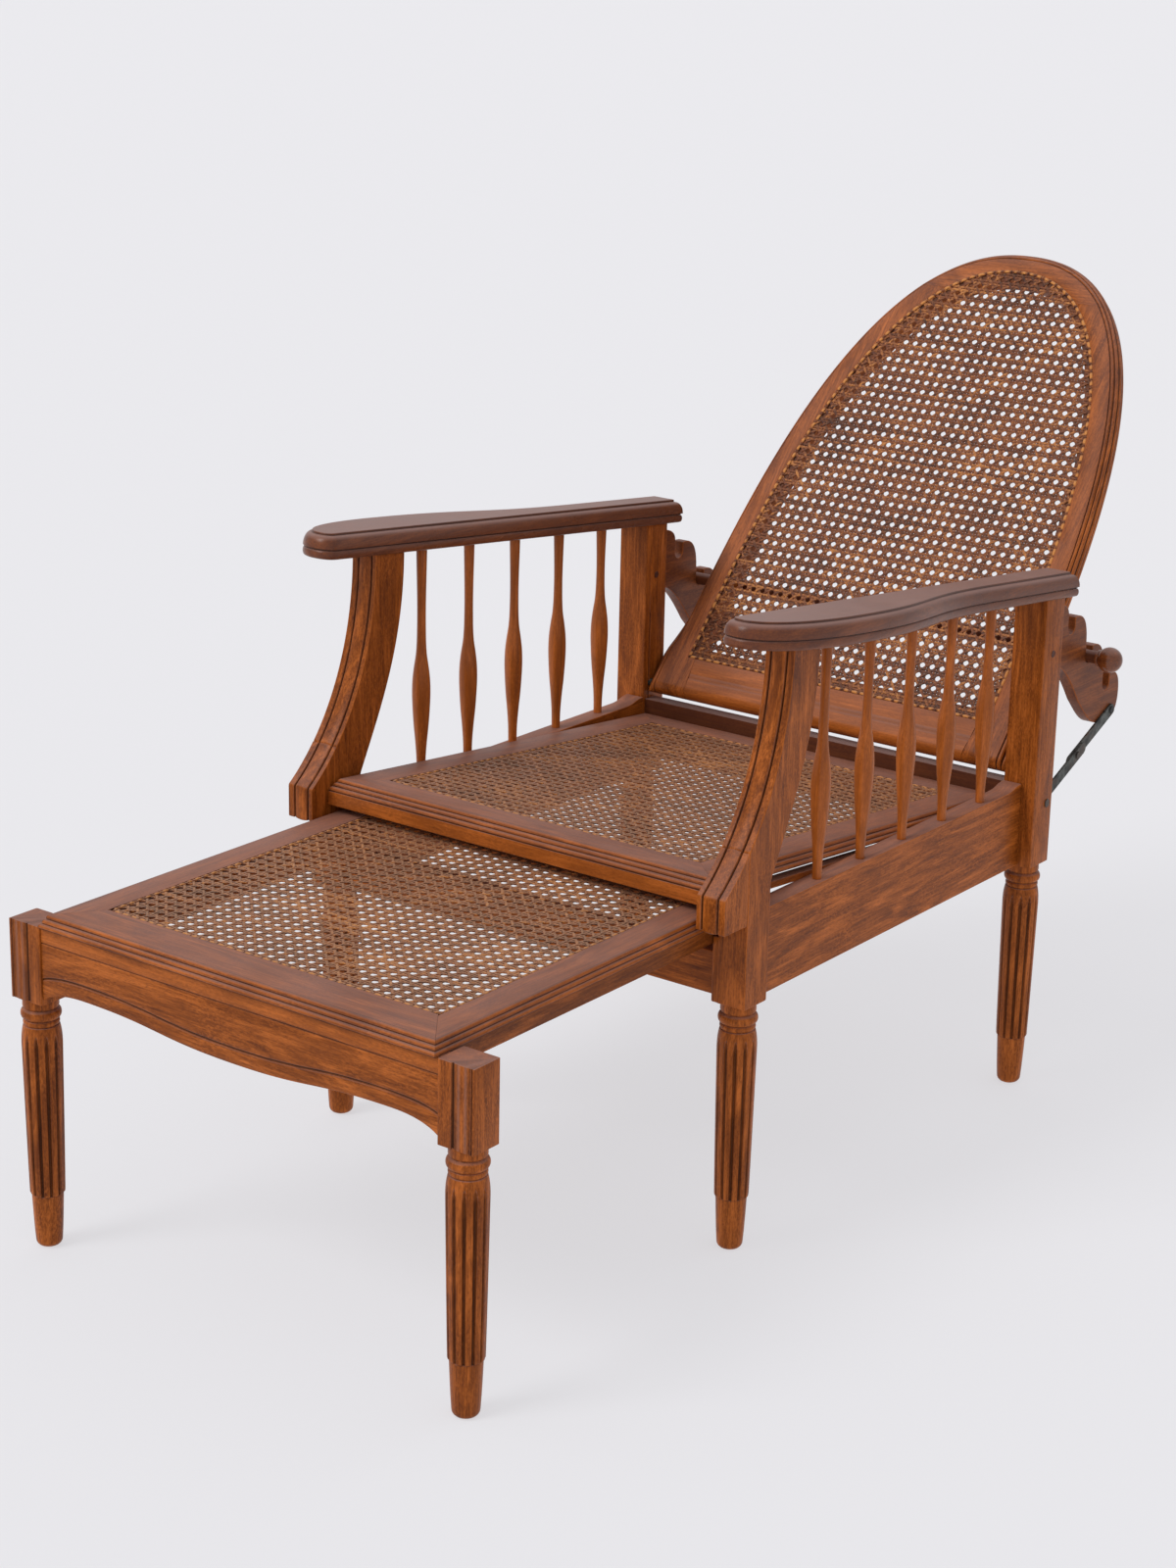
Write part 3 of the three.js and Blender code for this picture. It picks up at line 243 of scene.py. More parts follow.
def board(points, low, thickness, radius, carve=None):
    """A board seen from the side, its outline in Y and Z: at each place across the thickness the
    outline is offset along its normals by -(rim rounding + weight * carve(share)). A third
    column of the outline is the weight of the carving."""
    carved_places = 57
    across, drawn = eased(thickness, radius)
    if carve is not None:
        middle = np.linspace(radius, thickness - radius, carved_places)
        across = np.concatenate([across, middle])
        drawn = np.concatenate([drawn, np.zeros(carved_places)])
        order = np.argsort(across, kind="stable")
        across, drawn = across[order], drawn[order]
    weight = points[:, 2] if points.shape[1] > 2 else np.zeros(len(points))
    cut = np.zeros(len(across)) if carve is None else carve(across / thickness)
    depth = cut[:, None] * weight[None, :]
    inset = drawn[:, None] + depth
    rim = points[None, :, :2] - outward(points)[None] * inset[:, :, None]
    level = np.broadcast_to(low + across[:, None], inset.shape)
    worn = (drawn > 0.05 * radius) & (drawn < 0.9 * radius)
    # Carving is painted darker with its depth, grime and painted shade, and an eased arris paler with wear.
    dark = np.clip(depth / CARVING_DARK, 0, 1) - RUBBED * worn[:, None]
    return tube(np.stack([level, rim[..., 0] + FRONT_LINE, rim[..., 1]], -1), dark)


def column(loop, low, high, radius, stop=None):
    """A post: a loop in X and Y carried up Z, drawn in by a quarter circle at both ends. A third
    column of the loop is the depth of the carving there, cut along the loop's own normals. stop
    holds the heights where the carving starts at once and where it has run out."""
    start_run, end_run = 0.5 * MM, 3 * MM
    across, drawn = eased(high - low, radius)
    height = low + across
    share = np.ones(len(height))
    if stop is not None:
        ends = np.array([stop[0] - start_run, stop[0], stop[1] - end_run, stop[1]])
        height = np.concatenate([height, ends])
        order = np.argsort(height)
        height, drawn = height[order], np.concatenate([drawn, 0 * ends])[order]
        share = np.minimum((height - ends[0]) / start_run, (ends[3] - height) / end_run)
    cut = loop[None, :, 2] * np.clip(share, 0, 1)[:, None]
    rim = loop[None, :, :2] - outward(loop)[None] * (drawn[:, None] + cut)[:, :, None]
    level = np.broadcast_to(height[:, None], cut.shape)
    rings = np.stack([rim[..., 0], rim[..., 1] + FRONT_LINE, level], -1)
    # The groove is painted darker with its depth: grime and painted shade.
    return tube(rings, np.clip(cut / POST_GROOVE_DARK, 0, 1))


def bump(share, centre, half):
    """Smooth groove 0..1..0 round a place: cos^2 of the distance over half its width."""
    away = np.clip(np.abs(share - centre) / half, 0, 1)
    return np.cos(away * np.pi / 2) ** 2


# Finishes.

class Wire:
    """A socket of a finish. Sums and products of wires add Math nodes."""

    def __init__(self, finish, socket):
        self.finish = finish
        self.socket = socket

    def calculate(self, operation, first, second=0.0, clamp=False):
        settings = {"operation": operation, "use_clamp": clamp}
        return self.finish.node("ShaderNodeMath", settings, {0: first, 1: second})

    def __add__(self, other):
        return self.calculate("ADD", self, other)

    __radd__ = __add__

    def __sub__(self, other):
        return self.calculate("SUBTRACT", self, other)

    def __rsub__(self, other):
        return self.calculate("SUBTRACT", other, self)

    def __mul__(self, other):
        return self.calculate("MULTIPLY", self, other)

    __rmul__ = __mul__

    def clamped(self):
        return self.calculate("ADD", self, 0.0, clamp=True)


class Finish:
    """The node tree of one material, ending in a Principled shader."""

    def __init__(self, name):
        material = bpy.data.materials.new(name)
        material.use_nodes = True
        self.tree = material.node_tree
        self.tree.nodes.clear()

    def node(self, kind, settings=None, sockets=None, output=0):
        """Adds a node: its settings first, then the values or wires of its sockets."""
        made = self.tree.nodes.new(kind)
        for key, value in (settings or {}).items():
            if key == "stops":
                while len(made.color_ramp.elements) < len(value):
                    made.color_ramp.elements.new(0.5)
                for element, (place, colour) in zip(made.color_ramp.elements, value):
                    element.position = place
                    element.color = colour
            else:
                setattr(made, key, value)
        for key, value in (sockets or {}).items():
            if isinstance(value, Wire):
                self.tree.links.new(value.socket, made.inputs[key])
            else:
                made.inputs[key].default_value = value
        return Wire(self, made.outputs[output])

    def mix(self, factor, first, second):
        return self.node("ShaderNodeMix", {"data_type": "RGBA"}, {0: factor, 6: first, 7: second}, output=2)

    def noise(self, place, scale, detail=2.0, roughness=0.5, distortion=0.0):
        sockets = {"Scale": scale, "Detail": detail, "Roughness": roughness, "Distortion": distortion}
        return self.node("ShaderNodeTexNoise", {}, {"Vector": place, **sockets})

    def ramp(self, factor, *stops):
        """Piecewise straight step of a number: (place, value) pairs."""
        return self.node(
            "ShaderNodeValToRGB",
            {"stops": [(place, (value, value, value, 1)) for place, value in stops]},
            {0: factor},
        )

    def colour_ramp(self, factor, *stops):
        """Colour of a number held to 0..1, between (place, colour) pairs."""
        return self.node("ShaderNodeValToRGB", {"stops": stops}, {0: factor.clamped()})

    def stored(self, name):
        return self.node("ShaderNodeAttribute", {"attribute_name": name}, output=2)

    def close(self, surface):
        """Principled shader with these sockets, joined to the output."""
        shader = self.node("ShaderNodeBsdfPrincipled", {}, surface)
        out = self.tree.nodes.new("ShaderNodeOutputMaterial")
        self.tree.links.new(shader.socket, out.inputs["Surface"])


def linear(colour):
    """Linear value of an sRGB colour of 0..255 numbers: ((c + 0.055) / 1.055)^2.4."""
    share = np.asarray(colour, float) / 255
    value = np.where(share <= 0.04045, share / 12.92, ((share + 0.055) / 1.055) ** 2.4)
    return (*value.tolist(), 1.0)


def stretched(finish, place, turn, offset, across, along):
    """Place divided by across in X and Y and by along in Z, with Z turned to the grain."""
    return finish.node(
        "ShaderNodeMapping",
        {"vector_type": "TEXTURE"},
        {"Vector": place, "Location": (offset,) * 3, "Rotation": turn, "Scale": (across, across, along)},
    )


def facing_up(finish):
    """Z of the surface's own normal."""
    normal = finish.node("ShaderNodeTexCoord", output=1)
    return finish.node("ShaderNodeSeparateXYZ", {}, {0: normal}, output=2)


def wood(name, turn, colours, age=0.0, gloss=0.3, offset=0.0, shine=0.14, pale=0.0):
    """Stained beech with its grain along the local Z axis of the given turn: broad figure, fine
    streaks and short flecks are noises stretched along the grain. A stored shade above 0 is painted
    dark: grime and painted shade in a groove, with a pale line on either side, and painted shade on
    a ledge under the cane. Below 0 is paler: wear on a rubbed arris, and worn specks with painted
    light on the seat's front face. Faces that look up carry dust and a painted sheen, age turns all
    of it purple-brown, and pale moves it towards the light wood."""
    finish = Finish(name)
    place = finish.node("ShaderNodeTexCoord", output=3)

    def grain(across, along, *detail):
        return finish.noise(stretched(finish, place, turn, offset, across, along), 1.0, *detail)

    figure = grain(0.028, 0.16, 3.0, 0.55, 2.2)
    streaks = grain(0.0024, 0.06, 3.0, 0.6, 0.6)
    flecks = grain(0.0010, 0.006, 1.0, 0.5)
    specks = grain(0.0016, 0.004, 2.0, 0.6)
    patches = finish.noise(place, 11.0, 3.0, 0.6)

    tone = (figure * 0.55 + streaks * 0.45 - 0.5) * colours.contrast + 0.5
    base = finish.colour_ramp(tone, (0.15, colours.dark), (0.5, colours.middle), (0.86, colours.light))
    fleck = finish.ramp(flecks, (0.52, 0.0), (0.68, 1.0)) * colours.flecks
    base = finish.mix(fleck, base, colours.dark)
    worn = finish.ramp(patches, (0.35, 0.0), (0.75, 1.0))
    speckled = worn * finish.ramp(specks, (0.45, 0.0), (0.7, 1.0)) * 0.8
    base = finish.mix(speckled.clamped(), base, colours.light)
    base = finish.mix(pale, base, colours.light)
    base = finish.mix(age, base, colours.aged)

    groove = finish.stored("shade")
    # Below 0 paler: wear on rubbed arrises, and worn specks with painted light on the seat's front face.
    rubbed = (0.0 - groove).clamped() * (0.25 + specks) * (0.5 + patches) * 0.8
    base = finish.mix(rubbed.clamped(), base, colours.light)
    edges = finish.ramp(groove, (0.01, 0.0), (0.1, 1.0), (0.3, 0.0))
    line = edges * (0.2 + 0.9 * patches) * 0.5
    base = finish.mix(line.clamped(), base, colours.dust_and_sheen)
    # Grooves, quirks and ledges under the cane are darkened towards this colour: grime and painted shade.
    base = finish.mix((groove * 0.85).clamped(), base, colours.grime_and_shade)

    # Faces that look up are lighter: dust and a painted sheen.
    looks_up = finish.ramp(facing_up(finish), (0.5, 0.0), (0.95, 1.0))
    dust_and_sheen = looks_up * (0.5 + patches) * colours.dust_and_sheen_amount * (1 + 0.5 * age)
    base = finish.mix(dust_and_sheen.clamped(), base, colours.dust_and_sheen)

    rough = gloss + 0.16 * patches + 0.2 * groove.clamped() + dust_and_sheen * 0.25
    relief = {"Strength": 0.1, "Distance": 0.5 * MM, "Height": streaks * 0.6 + flecks * 0.4}
    finish.close({
        "Base Color": base,
        "Roughness": rough.clamped(),
        "Normal": finish.node("ShaderNodeBump", {}, relief),
        "Specular IOR Level": shine,
    })


def cane_finish(name, colours):
    """Strands of cane: each has its own tone, mottled along its length, with cloudy stains over the
    whole panel, and dust and a painted sheen where it looks up."""
    finish = Finish(name)
    place = finish.node("ShaderNodeTexCoord", output=3)
    tone = finish.stored("shade")
    clouds = finish.noise(place, 12.0, 3.0, 0.6)
    mottle = finish.noise(place, 330.0, 2.0, 0.7)
    value = tone * 0.6 + (clouds - 0.5) * 0.7 + (mottle - 0.5) * 1.3 + 0.15
    base = finish.colour_ramp(
        value, (0.1, colours.cane_dark), (0.5, colours.cane_middle), (0.9, colours.cane_light)
    )
    # Cane that looks up is lighter: dust and a painted sheen.
    looks_up = finish.ramp(facing_up(finish), (0.6, 0.0), (0.95, 1.0))
    dust_and_sheen = looks_up * (0.35 + 0.8 * mottle) * colours.cane_dust_and_sheen
    base = finish.mix(dust_and_sheen.clamped(), base, colours.bloom_and_sheen)
    rough = (0.38 + 0.2 * mottle).clamped()
    finish.close({"Base Color": base, "Roughness": rough, "Specular IOR Level": 0.2})


def iron_finish(name, colours):
    """Old dark iron: worn brighter in patches and rusty in others."""
    finish = Finish(name)
    place = finish.node("ShaderNodeTexCoord", output=3)
    patches = finish.noise(place, 90.0, 4.0, 0.65)
    rust = finish.ramp(finish.noise(place, 38.0, 3.0, 0.6), (0.5, 0.0), (0.7, 1.0))
    worn = finish.ramp(patches, (0.4, 0.0), (0.7, 1.0))
    base = finish.mix(rust * 0.6, finish.mix(worn, colours.iron_dark, colours.iron_light), colours.rust)
    finish.close({
        "Base Color": base,
        "Metallic": (0.75 - 0.5 * rust).clamped(),
        "Roughness": (0.42 + 0.25 * patches).clamped(),
    })


def paper_finish(name, colour, glow):
    """Matt pale floor: glow is the share of its brightness that shadows can't take away."""
    finish = Finish(name)
    finish.close({
        "Base Color": (*(channel * (1 - glow) for channel in colour[:3]), 1),
        "Emission Color": colour,
        "Emission Strength": glow,
        "Roughness": 0.9,
        "Specular IOR Level": 0.1,
    })


# Pieces.

def crease_caps(mesh):
    """Every edge of a face with more than four corners is sharp, so that the caps shade flat."""
    total = np.empty(len(mesh.polygons), np.int32)
    edge = np.empty(len(mesh.loops), np.int32)
    mesh.polygons.foreach_get("loop_total", total)
    mesh.loops.foreach_get("edge_index", edge)
    mark = mesh.attributes.get("sharp_edge") or mesh.attributes.new("sharp_edge", "BOOLEAN", "EDGE")
    sharp = np.empty(len(mesh.edges), bool)
    mark.data.foreach_get("value", sharp)
    sharp[edge[np.repeat(total > 4, total)]] = True
    mark.data.foreach_set("value", sharp)


def piece(name, parts, look, body, node, sharp=32):
    """An object from its shells, in a finish. It rides on its body and stands for its CAD node."""
    starts = np.cumsum([0] + [len(points) for points, _, _ in parts])
    faces = []
    for start, (_, groups, _) in zip(starts, parts):
        for group in groups:
            faces.extend((np.atleast_2d(group) + start).tolist())
    mesh = bpy.data.meshes.new(name)
    mesh.from_pydata(np.concatenate([points for points, _, _ in parts]), [], faces)
    shade = mesh.attributes.new("shade", "FLOAT", "POINT")
    shade.data.foreach_set("value", np.concatenate([dark for _, _, dark in parts]).astype(np.float32))
    mesh.shade_smooth()
    mesh.set_sharp_from_angle(angle=math.radians(sharp))
    crease_caps(mesh)
    mesh.materials.append(bpy.data.materials[look])
    made = bpy.data.objects.new(name, mesh)
    bpy.context.scene.collection.objects.link(made)
    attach(made, body)
    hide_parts(node)


def pair(name, parts, look, body, node, sharp=32):
    """The same piece on both sides, from the shells of the right one."""
    for side_name, side in SIDES.items():
        shells = [handed(part, side) for part in parts]
        piece(f"{name}_{side_name}", shells, look, body, f"{node}_{side_name}", sharp)


def dress(node, look, width=0.0):
    """A CAD node keeps its own shape: it gets a finish, welded points and softened arrises."""
    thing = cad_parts[node]
    thing.data.materials.clear()
    thing.data.materials.append(bpy.data.materials[look])
    weld = thing.modifiers.new("weld", "WELD")
    weld.merge_threshold = 0.01 * MM
    if width > 0:
        arris = thing.modifiers.new("arris", "BEVEL")
        arris.width = width
        arris.segments = 2
        arris.limit_method = "ANGLE"
        arris.angle_limit = math.radians(40)
        arris.harden_normals = False


# Settings.

def length_setting(name, description, default):
    return bpy.props.FloatProperty(name=name, description=description, default=default, unit="LENGTH")


def angle_setting(name, description, degrees):
    return bpy.props.FloatProperty(
        name=name, description=description, default=math.radians(degrees), subtype="ANGLE"
    )


def amount_setting(name, description, default, low=0.0, high=1.0):
    return bpy.props.FloatProperty(name=name, description=description, default=default, min=low, max=high)


def colour_setting(name, description, *colour):
    """An sRGB colour of 0..255 numbers, kept as its linear value."""
    return bpy.props.FloatVectorProperty(
        name=name, description=description, default=linear(colour), subtype="COLOR", size=4
    )


class LegSizes(bpy.types.PropertyGroup):
    foot_radius: length_setting("Foot radius", "Radius of the foot at the floor", 13.8 * MM)
    ankle_radius: length_setting("Ankle radius", "Radius at the top of the plain foot", 16.4 * MM)
    shaft_radius: length_setting("Shaft radius", "Radius at the foot of the fluted shaft", 18 * MM)
    belly_radius: length_setting("Belly radius", "Largest radius of the fluted shaft", 20.8 * MM)
    flutes: bpy.props.IntProperty(
        name="Flutes", description="Number of flutes round a leg", default=12, min=6, max=24
    )
    flute_depth: length_setting("Flute depth", "Depth of the flutes", 2.8 * MM)
    flute_share: amount_setting("Flute width", "Half width of a flute over the pitch", 0.21, 0.1, 0.45)


class CaneSizes(bpy.types.PropertyGroup):
    pitch: length_setting("Pitch", "Distance between neighbouring holes of the weave", 13.4 * MM)
    strand: length_setting("Strand width", "Width of an upright or level strand", 2.6 * MM)
    slant: length_setting("Slanting strand width", "Width of a slanting strand", 2.9 * MM)
    thickness: length_setting("Strand thickness", "Thickness of a strand", 0.8 * MM)
    spread: length_setting("Pair spread", "Half the distance between the strands of a pair", 1.6 * MM)
    rise: length_setting("Rise", "How far a slanting strand rises over a pair", 0.85 * MM)
    binder: length_setting("Binder width", "Width of the strand that covers the frame's holes", 4.2 * MM)


class FinishColours(bpy.types.PropertyGroup):
    dark: colour_setting("Dark wood", "Darkest streaks of the stained beech", 92, 42, 12)
    middle: colour_setting("Wood", "Stained beech", 137, 70, 20)
    light: colour_setting("Light wood", "Lightest figure of the stained beech", 190, 104, 42)
    aged: colour_setting("Aged wood", "Purple-brown of handled and sooty wood", 80, 46, 36)
    # Colour of the grooves and of the ledges under the cane: grime and painted shade.
    grime_and_shade: colour_setting("Grime", "Old wax in the grooves", 36, 18, 10)
    # Colour and amount of the dust and painted sheen on faces that look up.
    dust_and_sheen: colour_setting("Dust", "Bloom on faces that look up", 150, 117, 108)
    dust_and_sheen_amount: amount_setting("Dust amount", "How much bloom the upper faces carry", 0.5)
    contrast: amount_setting("Figure contrast", "Contrast of the grain", 2.1, high=4)
    flecks: amount_setting("Flecks", "Strength of the short dark flecks of beech", 0.5)
    cane_dark: colour_setting("Dark cane", "Stained parts of the cane", 62, 28, 15)
    cane_middle: colour_setting("Cane", "Cane", 122, 64, 32)
    cane_light: colour_setting("Light cane", "Cleanest strands of the cane", 204, 134, 68)
    # Colour and amount of the dust and painted sheen on cane that looks up.
    bloom_and_sheen: colour_setting("Cane bloom", "Dust on cane that looks up", 180, 136, 104)
    cane_dust_and_sheen: amount_setting("Cane dust", "How much bloom the cane carries", 0.74)
    iron_dark: colour_setting("Dark iron", "Iron of the stays", 52, 52, 50)
    iron_light: colour_setting("Worn iron", "Rubbed edges of the stays", 110, 112, 108)
    rust: colour_setting("Rust", "Rust on the stays", 88, 58, 40)


class StudioSettings(bpy.types.PropertyGroup):
    floor: bpy.props.FloatVectorProperty(
        name="Floor", description="Colour of the floor", default=(0.82, 0.815, 0.84, 1),
        subtype="COLOR", size=4,
    )
    glow: amount_setting("Floor glow", "Share of the floor's brightness that is its own", 0.72)
    floor_reach: length_setting("Floor reach", "Radius of the floor", 60)
    sky: amount_setting("Fill light", "Strength of the even light from all round", 0.72, high=10)
    key: amount_setting("Main light", "Strength of the soft light from the front left", 1.15, high=10)
    spread: angle_setting("Spread", "Angle that the main light fills", 24)
    lens: amount_setting("Lens", "Focal length", 70.226, 10, 500)
    place: bpy.props.FloatVectorProperty(
        name="Camera place", description="Where the camera stands", default=(1.88366, -2.69346, 1.44151),
        subtype="TRANSLATION", size=3,
    )
    bearing: angle_setting("Bearing", "Camera bearing round the chair", 36.82)
    tilt: angle_setting("Tilt", "How far the camera looks down", 17.88)
    roll: angle_setting("Roll", "Camera roll", 1.22)


# Shapes shared by several operators.

def leg_shell(centre, sizes):
    """Turned leg: a rounded foot, a shaft that swells upwards and whose flutes run out at a tip,
    then a small bead, a ring and a collar; bead and ring are r = base + rise * sqrt(1 - d^2)."""
    ease = 7 * MM
    low, high, tip, throat = 59.4 * MM, 225 * MM, 239 * MM, 246.5 * MM
    turn = np.linspace(0, QUARTER, 6)
    foot = [(sizes.foot_radius - ease + ease * math.sin(a), ease - ease * math.cos(a)) for a in turn]
    taper = sizes.ankle_radius - sizes.foot_radius
    foot += [(sizes.foot_radius + taper * s**0.8, ease + 51.5 * MM * s) for s in (0.25, 0.5, 0.75, 1)]
    foot += [(sizes.ankle_radius - 0.6 * MM, low - 0.2 * MM)]
    heights = np.concatenate([
        [low, low + 0.5 * MM, low + 1.6 * MM],
        np.linspace(low + 5 * MM, high, 12),
        np.linspace(high, throat, 16)[1:],
    ])
    swell = np.clip((heights - low) / (high - low), 0, 1) ** 0.85
    shoulder = np.clip((heights - high) / (throat - high), 0, 1) ** 2.6
    radius = sizes.shaft_radius + (sizes.belly_radius - sizes.shaft_radius) * swell - 2.1 * MM * shoulder
    radius[:2] -= np.array([1.2, 0.4]) * MM

    def bead(height, half, base, rise, count=9):
        share = np.linspace(-1, 1, count)
        return np.column_stack([base + rise * np.sqrt(np.maximum(1 - share**2, 0)), height + half * share])

    neck = MM * np.concatenate([
        [(17.9, 247), (16.8, 247.3)],
        bead(250.5, 3, 16.9, 1.8),
        [(16.6, 253.8)],
        bead(259.5, 5.4, 17, 3.8, 13),
        [(16.4, 265.2), (16.3, 266.4), (18.2, 267), (18.7, 268.4), (18.5, 277)],
    ])

    def flutes(height, angle):
        """Round-bottomed flutes: depth times sqrt(1 - (u / w)^2), with w the half width in shares
        of the pitch, which runs out to nothing at the tip."""
        run = np.clip((tip - height) / (tip - high), 0, 1)
        width = sizes.flute_share * np.sqrt(run) * (height > low - 1e-6) * (height < tip)
        u = np.abs((angle * sizes.flutes / (2 * np.pi) + 0.5) % 1 - 0.5)
        share = np.clip(u / np.maximum(width, 1e-9), 0, 1)
        return np.where(width > 1e-6, sizes.flute_depth * run**0.5 * np.sqrt(1 - share**2), 0)

    profile = np.concatenate([foot, np.column_stack([radius, heights]), neck])
    return turned(profile, centre, around=sizes.flutes * 14, flutes=flutes)


def sabre_front():
    """Front edge of an arm support in side view, from the arm down to the toe."""
    pull, slope = 80 / 1.3, 1.3
    return MM * bezier((46, 649.5), (46, 539.5), (pull - 61, 405 + pull / slope), (-61, 405), steps=40)


def sabre_rear():
    """Rear edge of an arm support, from the heel up to the arm."""
    return MM * bezier((20, 405), (55, 475), (94, 539.5), (94, 649.5), steps=40)


def weighted(points, weight):
    """Outline points with the weight of their carving as a third column."""
    return np.column_stack([points, np.full(len(points), float(weight))])


def support_carving(share):
    """Strip, groove, low round band, groove and strip across the front of an arm support."""
    band = np.sin(np.clip((share - 0.22) / 0.49, 0, 1) * np.pi)
    return 2 * MM * (bump(share, 0.19, 0.05) + bump(share, 0.74, 0.05)) - 1.1 * MM * band


def reeds(out, drop, count=3, rise=1.5 * MM, steps=8):
    """Reeded edge from the arris outwards and down: half circles side by side along the straight
    line from (0, 0) to (-out, -drop), each point moved outwards by rise * sqrt(sin)."""
    t = np.linspace(0, 1, count * steps + 1)
    along = np.stack([-out * t, -drop * t], -1)
    normal = np.array([-drop, out]) / math.hypot(out, drop)
    swell = np.sqrt(np.abs(np.sin(t * count * np.pi)))
    # Quirks between the reeds are painted darker, grime and painted shade, and the crowns paler with wear.
    dark = 1 - np.clip(swell * 1.25, 0, 1) - 0.5 * (swell > 0.9)
    return along + normal * (rise * (swell - 0.35))[:, None], dark


def member_loop(width, depth, out, face, tone=0.0):
    """Section of a frame member, with how dark it is: top, reeded edge, plain face, underside,
    inner wall and the ledge that the cane lies on. u runs inwards from the arris and w up. The tone
    is that of the face: above 0 it is painted shade, below 0 worn specks and painted light. Quirks
    are painted dark with grime and painted shade, and the ledge under the cane with painted shade."""
    ledge = width - 8 * MM
    edge, dark = reeds(out, 13.5 * MM)
    top = np.array([
        (ledge, -0.8 * MM), (ledge - 0.3 * MM, -0.2 * MM), (ledge - 1 * MM, 0),
        (width / 2, 0), (1.2 * MM, 0), (0.4 * MM, -0.25 * MM),
    ])
    rest = np.array([
        (face + 0.7 * MM, -14 * MM), (face + 0.6 * MM, -14.6 * MM), (face, -15 * MM),
        (face, -depth + 1 * MM), (face + 0.3 * MM, -depth + 0.3 * MM), (face + 1 * MM, -depth),
        (width - 1 * MM, -depth), (width, -depth + 1 * MM), (width, -4 * MM),
        (width - 0.6 * MM, -3 * MM), (ledge, -3 * MM),
    ])
    loop = np.concatenate([top, edge, rest])
    # Quirks at the top and under the reeds: grime and painted shade; ledge corner and wall under the cane:
    # painted shade.
    top_dark, face_dark, rear_dark = [0.9, 0.3, 0, 0, 0, 0.2], [1, 0.7, tone, tone, tone], [0.5, 0.8]
    return loop, np.concatenate([top_dark, dark, face_dark, np.zeros(4), rear_dark])


def member(section, length, mitre, turn, place, lay):
    """A mitred length of a section: a corner at u starts u * mitre further in from both ends. It is
    turned about Z, put in place and laid on its slope."""
    loop, shade = section
    trim = loop[:, 0] * mitre + 0.15 * MM
    along = np.stack([trim, length - trim]) - length / 2
    cosine, sine = math.cos(turn), math.sin(turn)
    x = along * cosine - loop[:, 0] * sine + place[0]
    y = along * sine + loop[:, 0] * cosine + place[1]
    laid = lay(np.stack([x, y, np.broadcast_to(loop[:, 1], x.shape)], -1))
    return tube(laid, np.broadcast_to(shade, laid.shape[:2]))


def mitred_frame(name, sections, reach, run, mitre, lay, body):
    """Front, rear, left and right member of a frame, from the sections of the front, the rear and
    the sides. The mitre is the width of a side over that of the front."""
    front, rear, side = sections
    placed = {
        "front": (front, 2 * reach, mitre, 0, (0, 0), "beech across"),
        "rear": (rear, 2 * reach, mitre, math.pi, (0, run), "beech across"),
        "left": (side, run, 1 / mitre, -QUARTER, (-reach, run / 2), "beech lengthwise"),
        "right": (side, run, 1 / mitre, QUARTER, (reach, run / 2), "beech lengthwise"),
    }
    for edge, (section, length, cut, turn, place, look) in placed.items():
        part = member(section, length, cut, turn, place, lay)
        piece(f"{name}_member_{edge}", [part], look, body, f"{name}_frame_{edge}")


def on_seat(points):
    """Flat seat drawing (x, back, up) laid on the slope of the seat."""
    cosine, sine = math.cos(SEAT_SLOPE), math.sin(SEAT_SLOPE)
    x, y, z = points[..., 0], points[..., 1], points[..., 2]
    back = y * cosine + z * sine + SEAT_FRONT[0] + FRONT_LINE
    return np.stack([x, back, -y * sine + z * cosine + SEAT_FRONT[1]], -1)


def on_footrest(points):
    """Flat footrest drawing (x, back, up), which stays level."""
    return points + np.array([0, FOOTREST_FRONT[0] + FRONT_LINE, FOOTREST_FRONT[1]])


def on_back(points):
    """Upright back drawing (x, depth from the front face, height) leaned back about the pivot."""
    cosine, sine = math.cos(BACK_LEAN), math.sin(BACK_LEAN)
    x, y, z = points[..., 0], points[..., 1] - BACK_HALF, points[..., 2]
    back = y * cosine + z * sine + PIVOT[0] + FRONT_LINE
    return np.stack([x, back, -y * sine + z * cosine + PIVOT[1]], -1)


def arch(kind, turn):
    """Points of an arch at turns from 0 to pi: x = reach cos^(2/crown), z = height sin^(2/side)."""
    reach, height, side, crown = ARCHES[kind]
    cosine = np.maximum(np.abs(np.cos(turn)), 1e-12)
    x = np.sign(np.cos(turn)) * reach * cosine ** (2 / crown)
    return np.stack([x, height * np.abs(np.sin(turn)) ** (2 / side)], -1)


def turn_at(kind, height):
    """Turn at which an arch passes a height."""
    _, full, side, _ = ARCHES[kind]
    return math.asin((height / full) ** (side / 2))


def stile_joint(height):
    """Half width at which the bottom rail meets a stile: a straight line that leans outwards."""
    return (196 + 8 * (height / MM + 23) / 79) * MM


def smooth_through(knots, values, places):
    """Cubic Hermite curve through the knots, with the mean of the neighbouring slopes at each."""
    slope = np.gradient(values, knots)
    k = np.clip(np.searchsorted(knots, places) - 1, 0, len(knots) - 2)
    step = knots[k + 1] - knots[k]
    t = (places - knots[k]) / step
    return (
        values[k] * (1 + 2 * t) * (1 - t) ** 2
        + slope[k] * step * t * (1 - t) ** 2
        + values[k + 1] * t**2 * (3 - 2 * t)
        + slope[k + 1] * step * t**2 * (t - 1)
    )


# Operators.

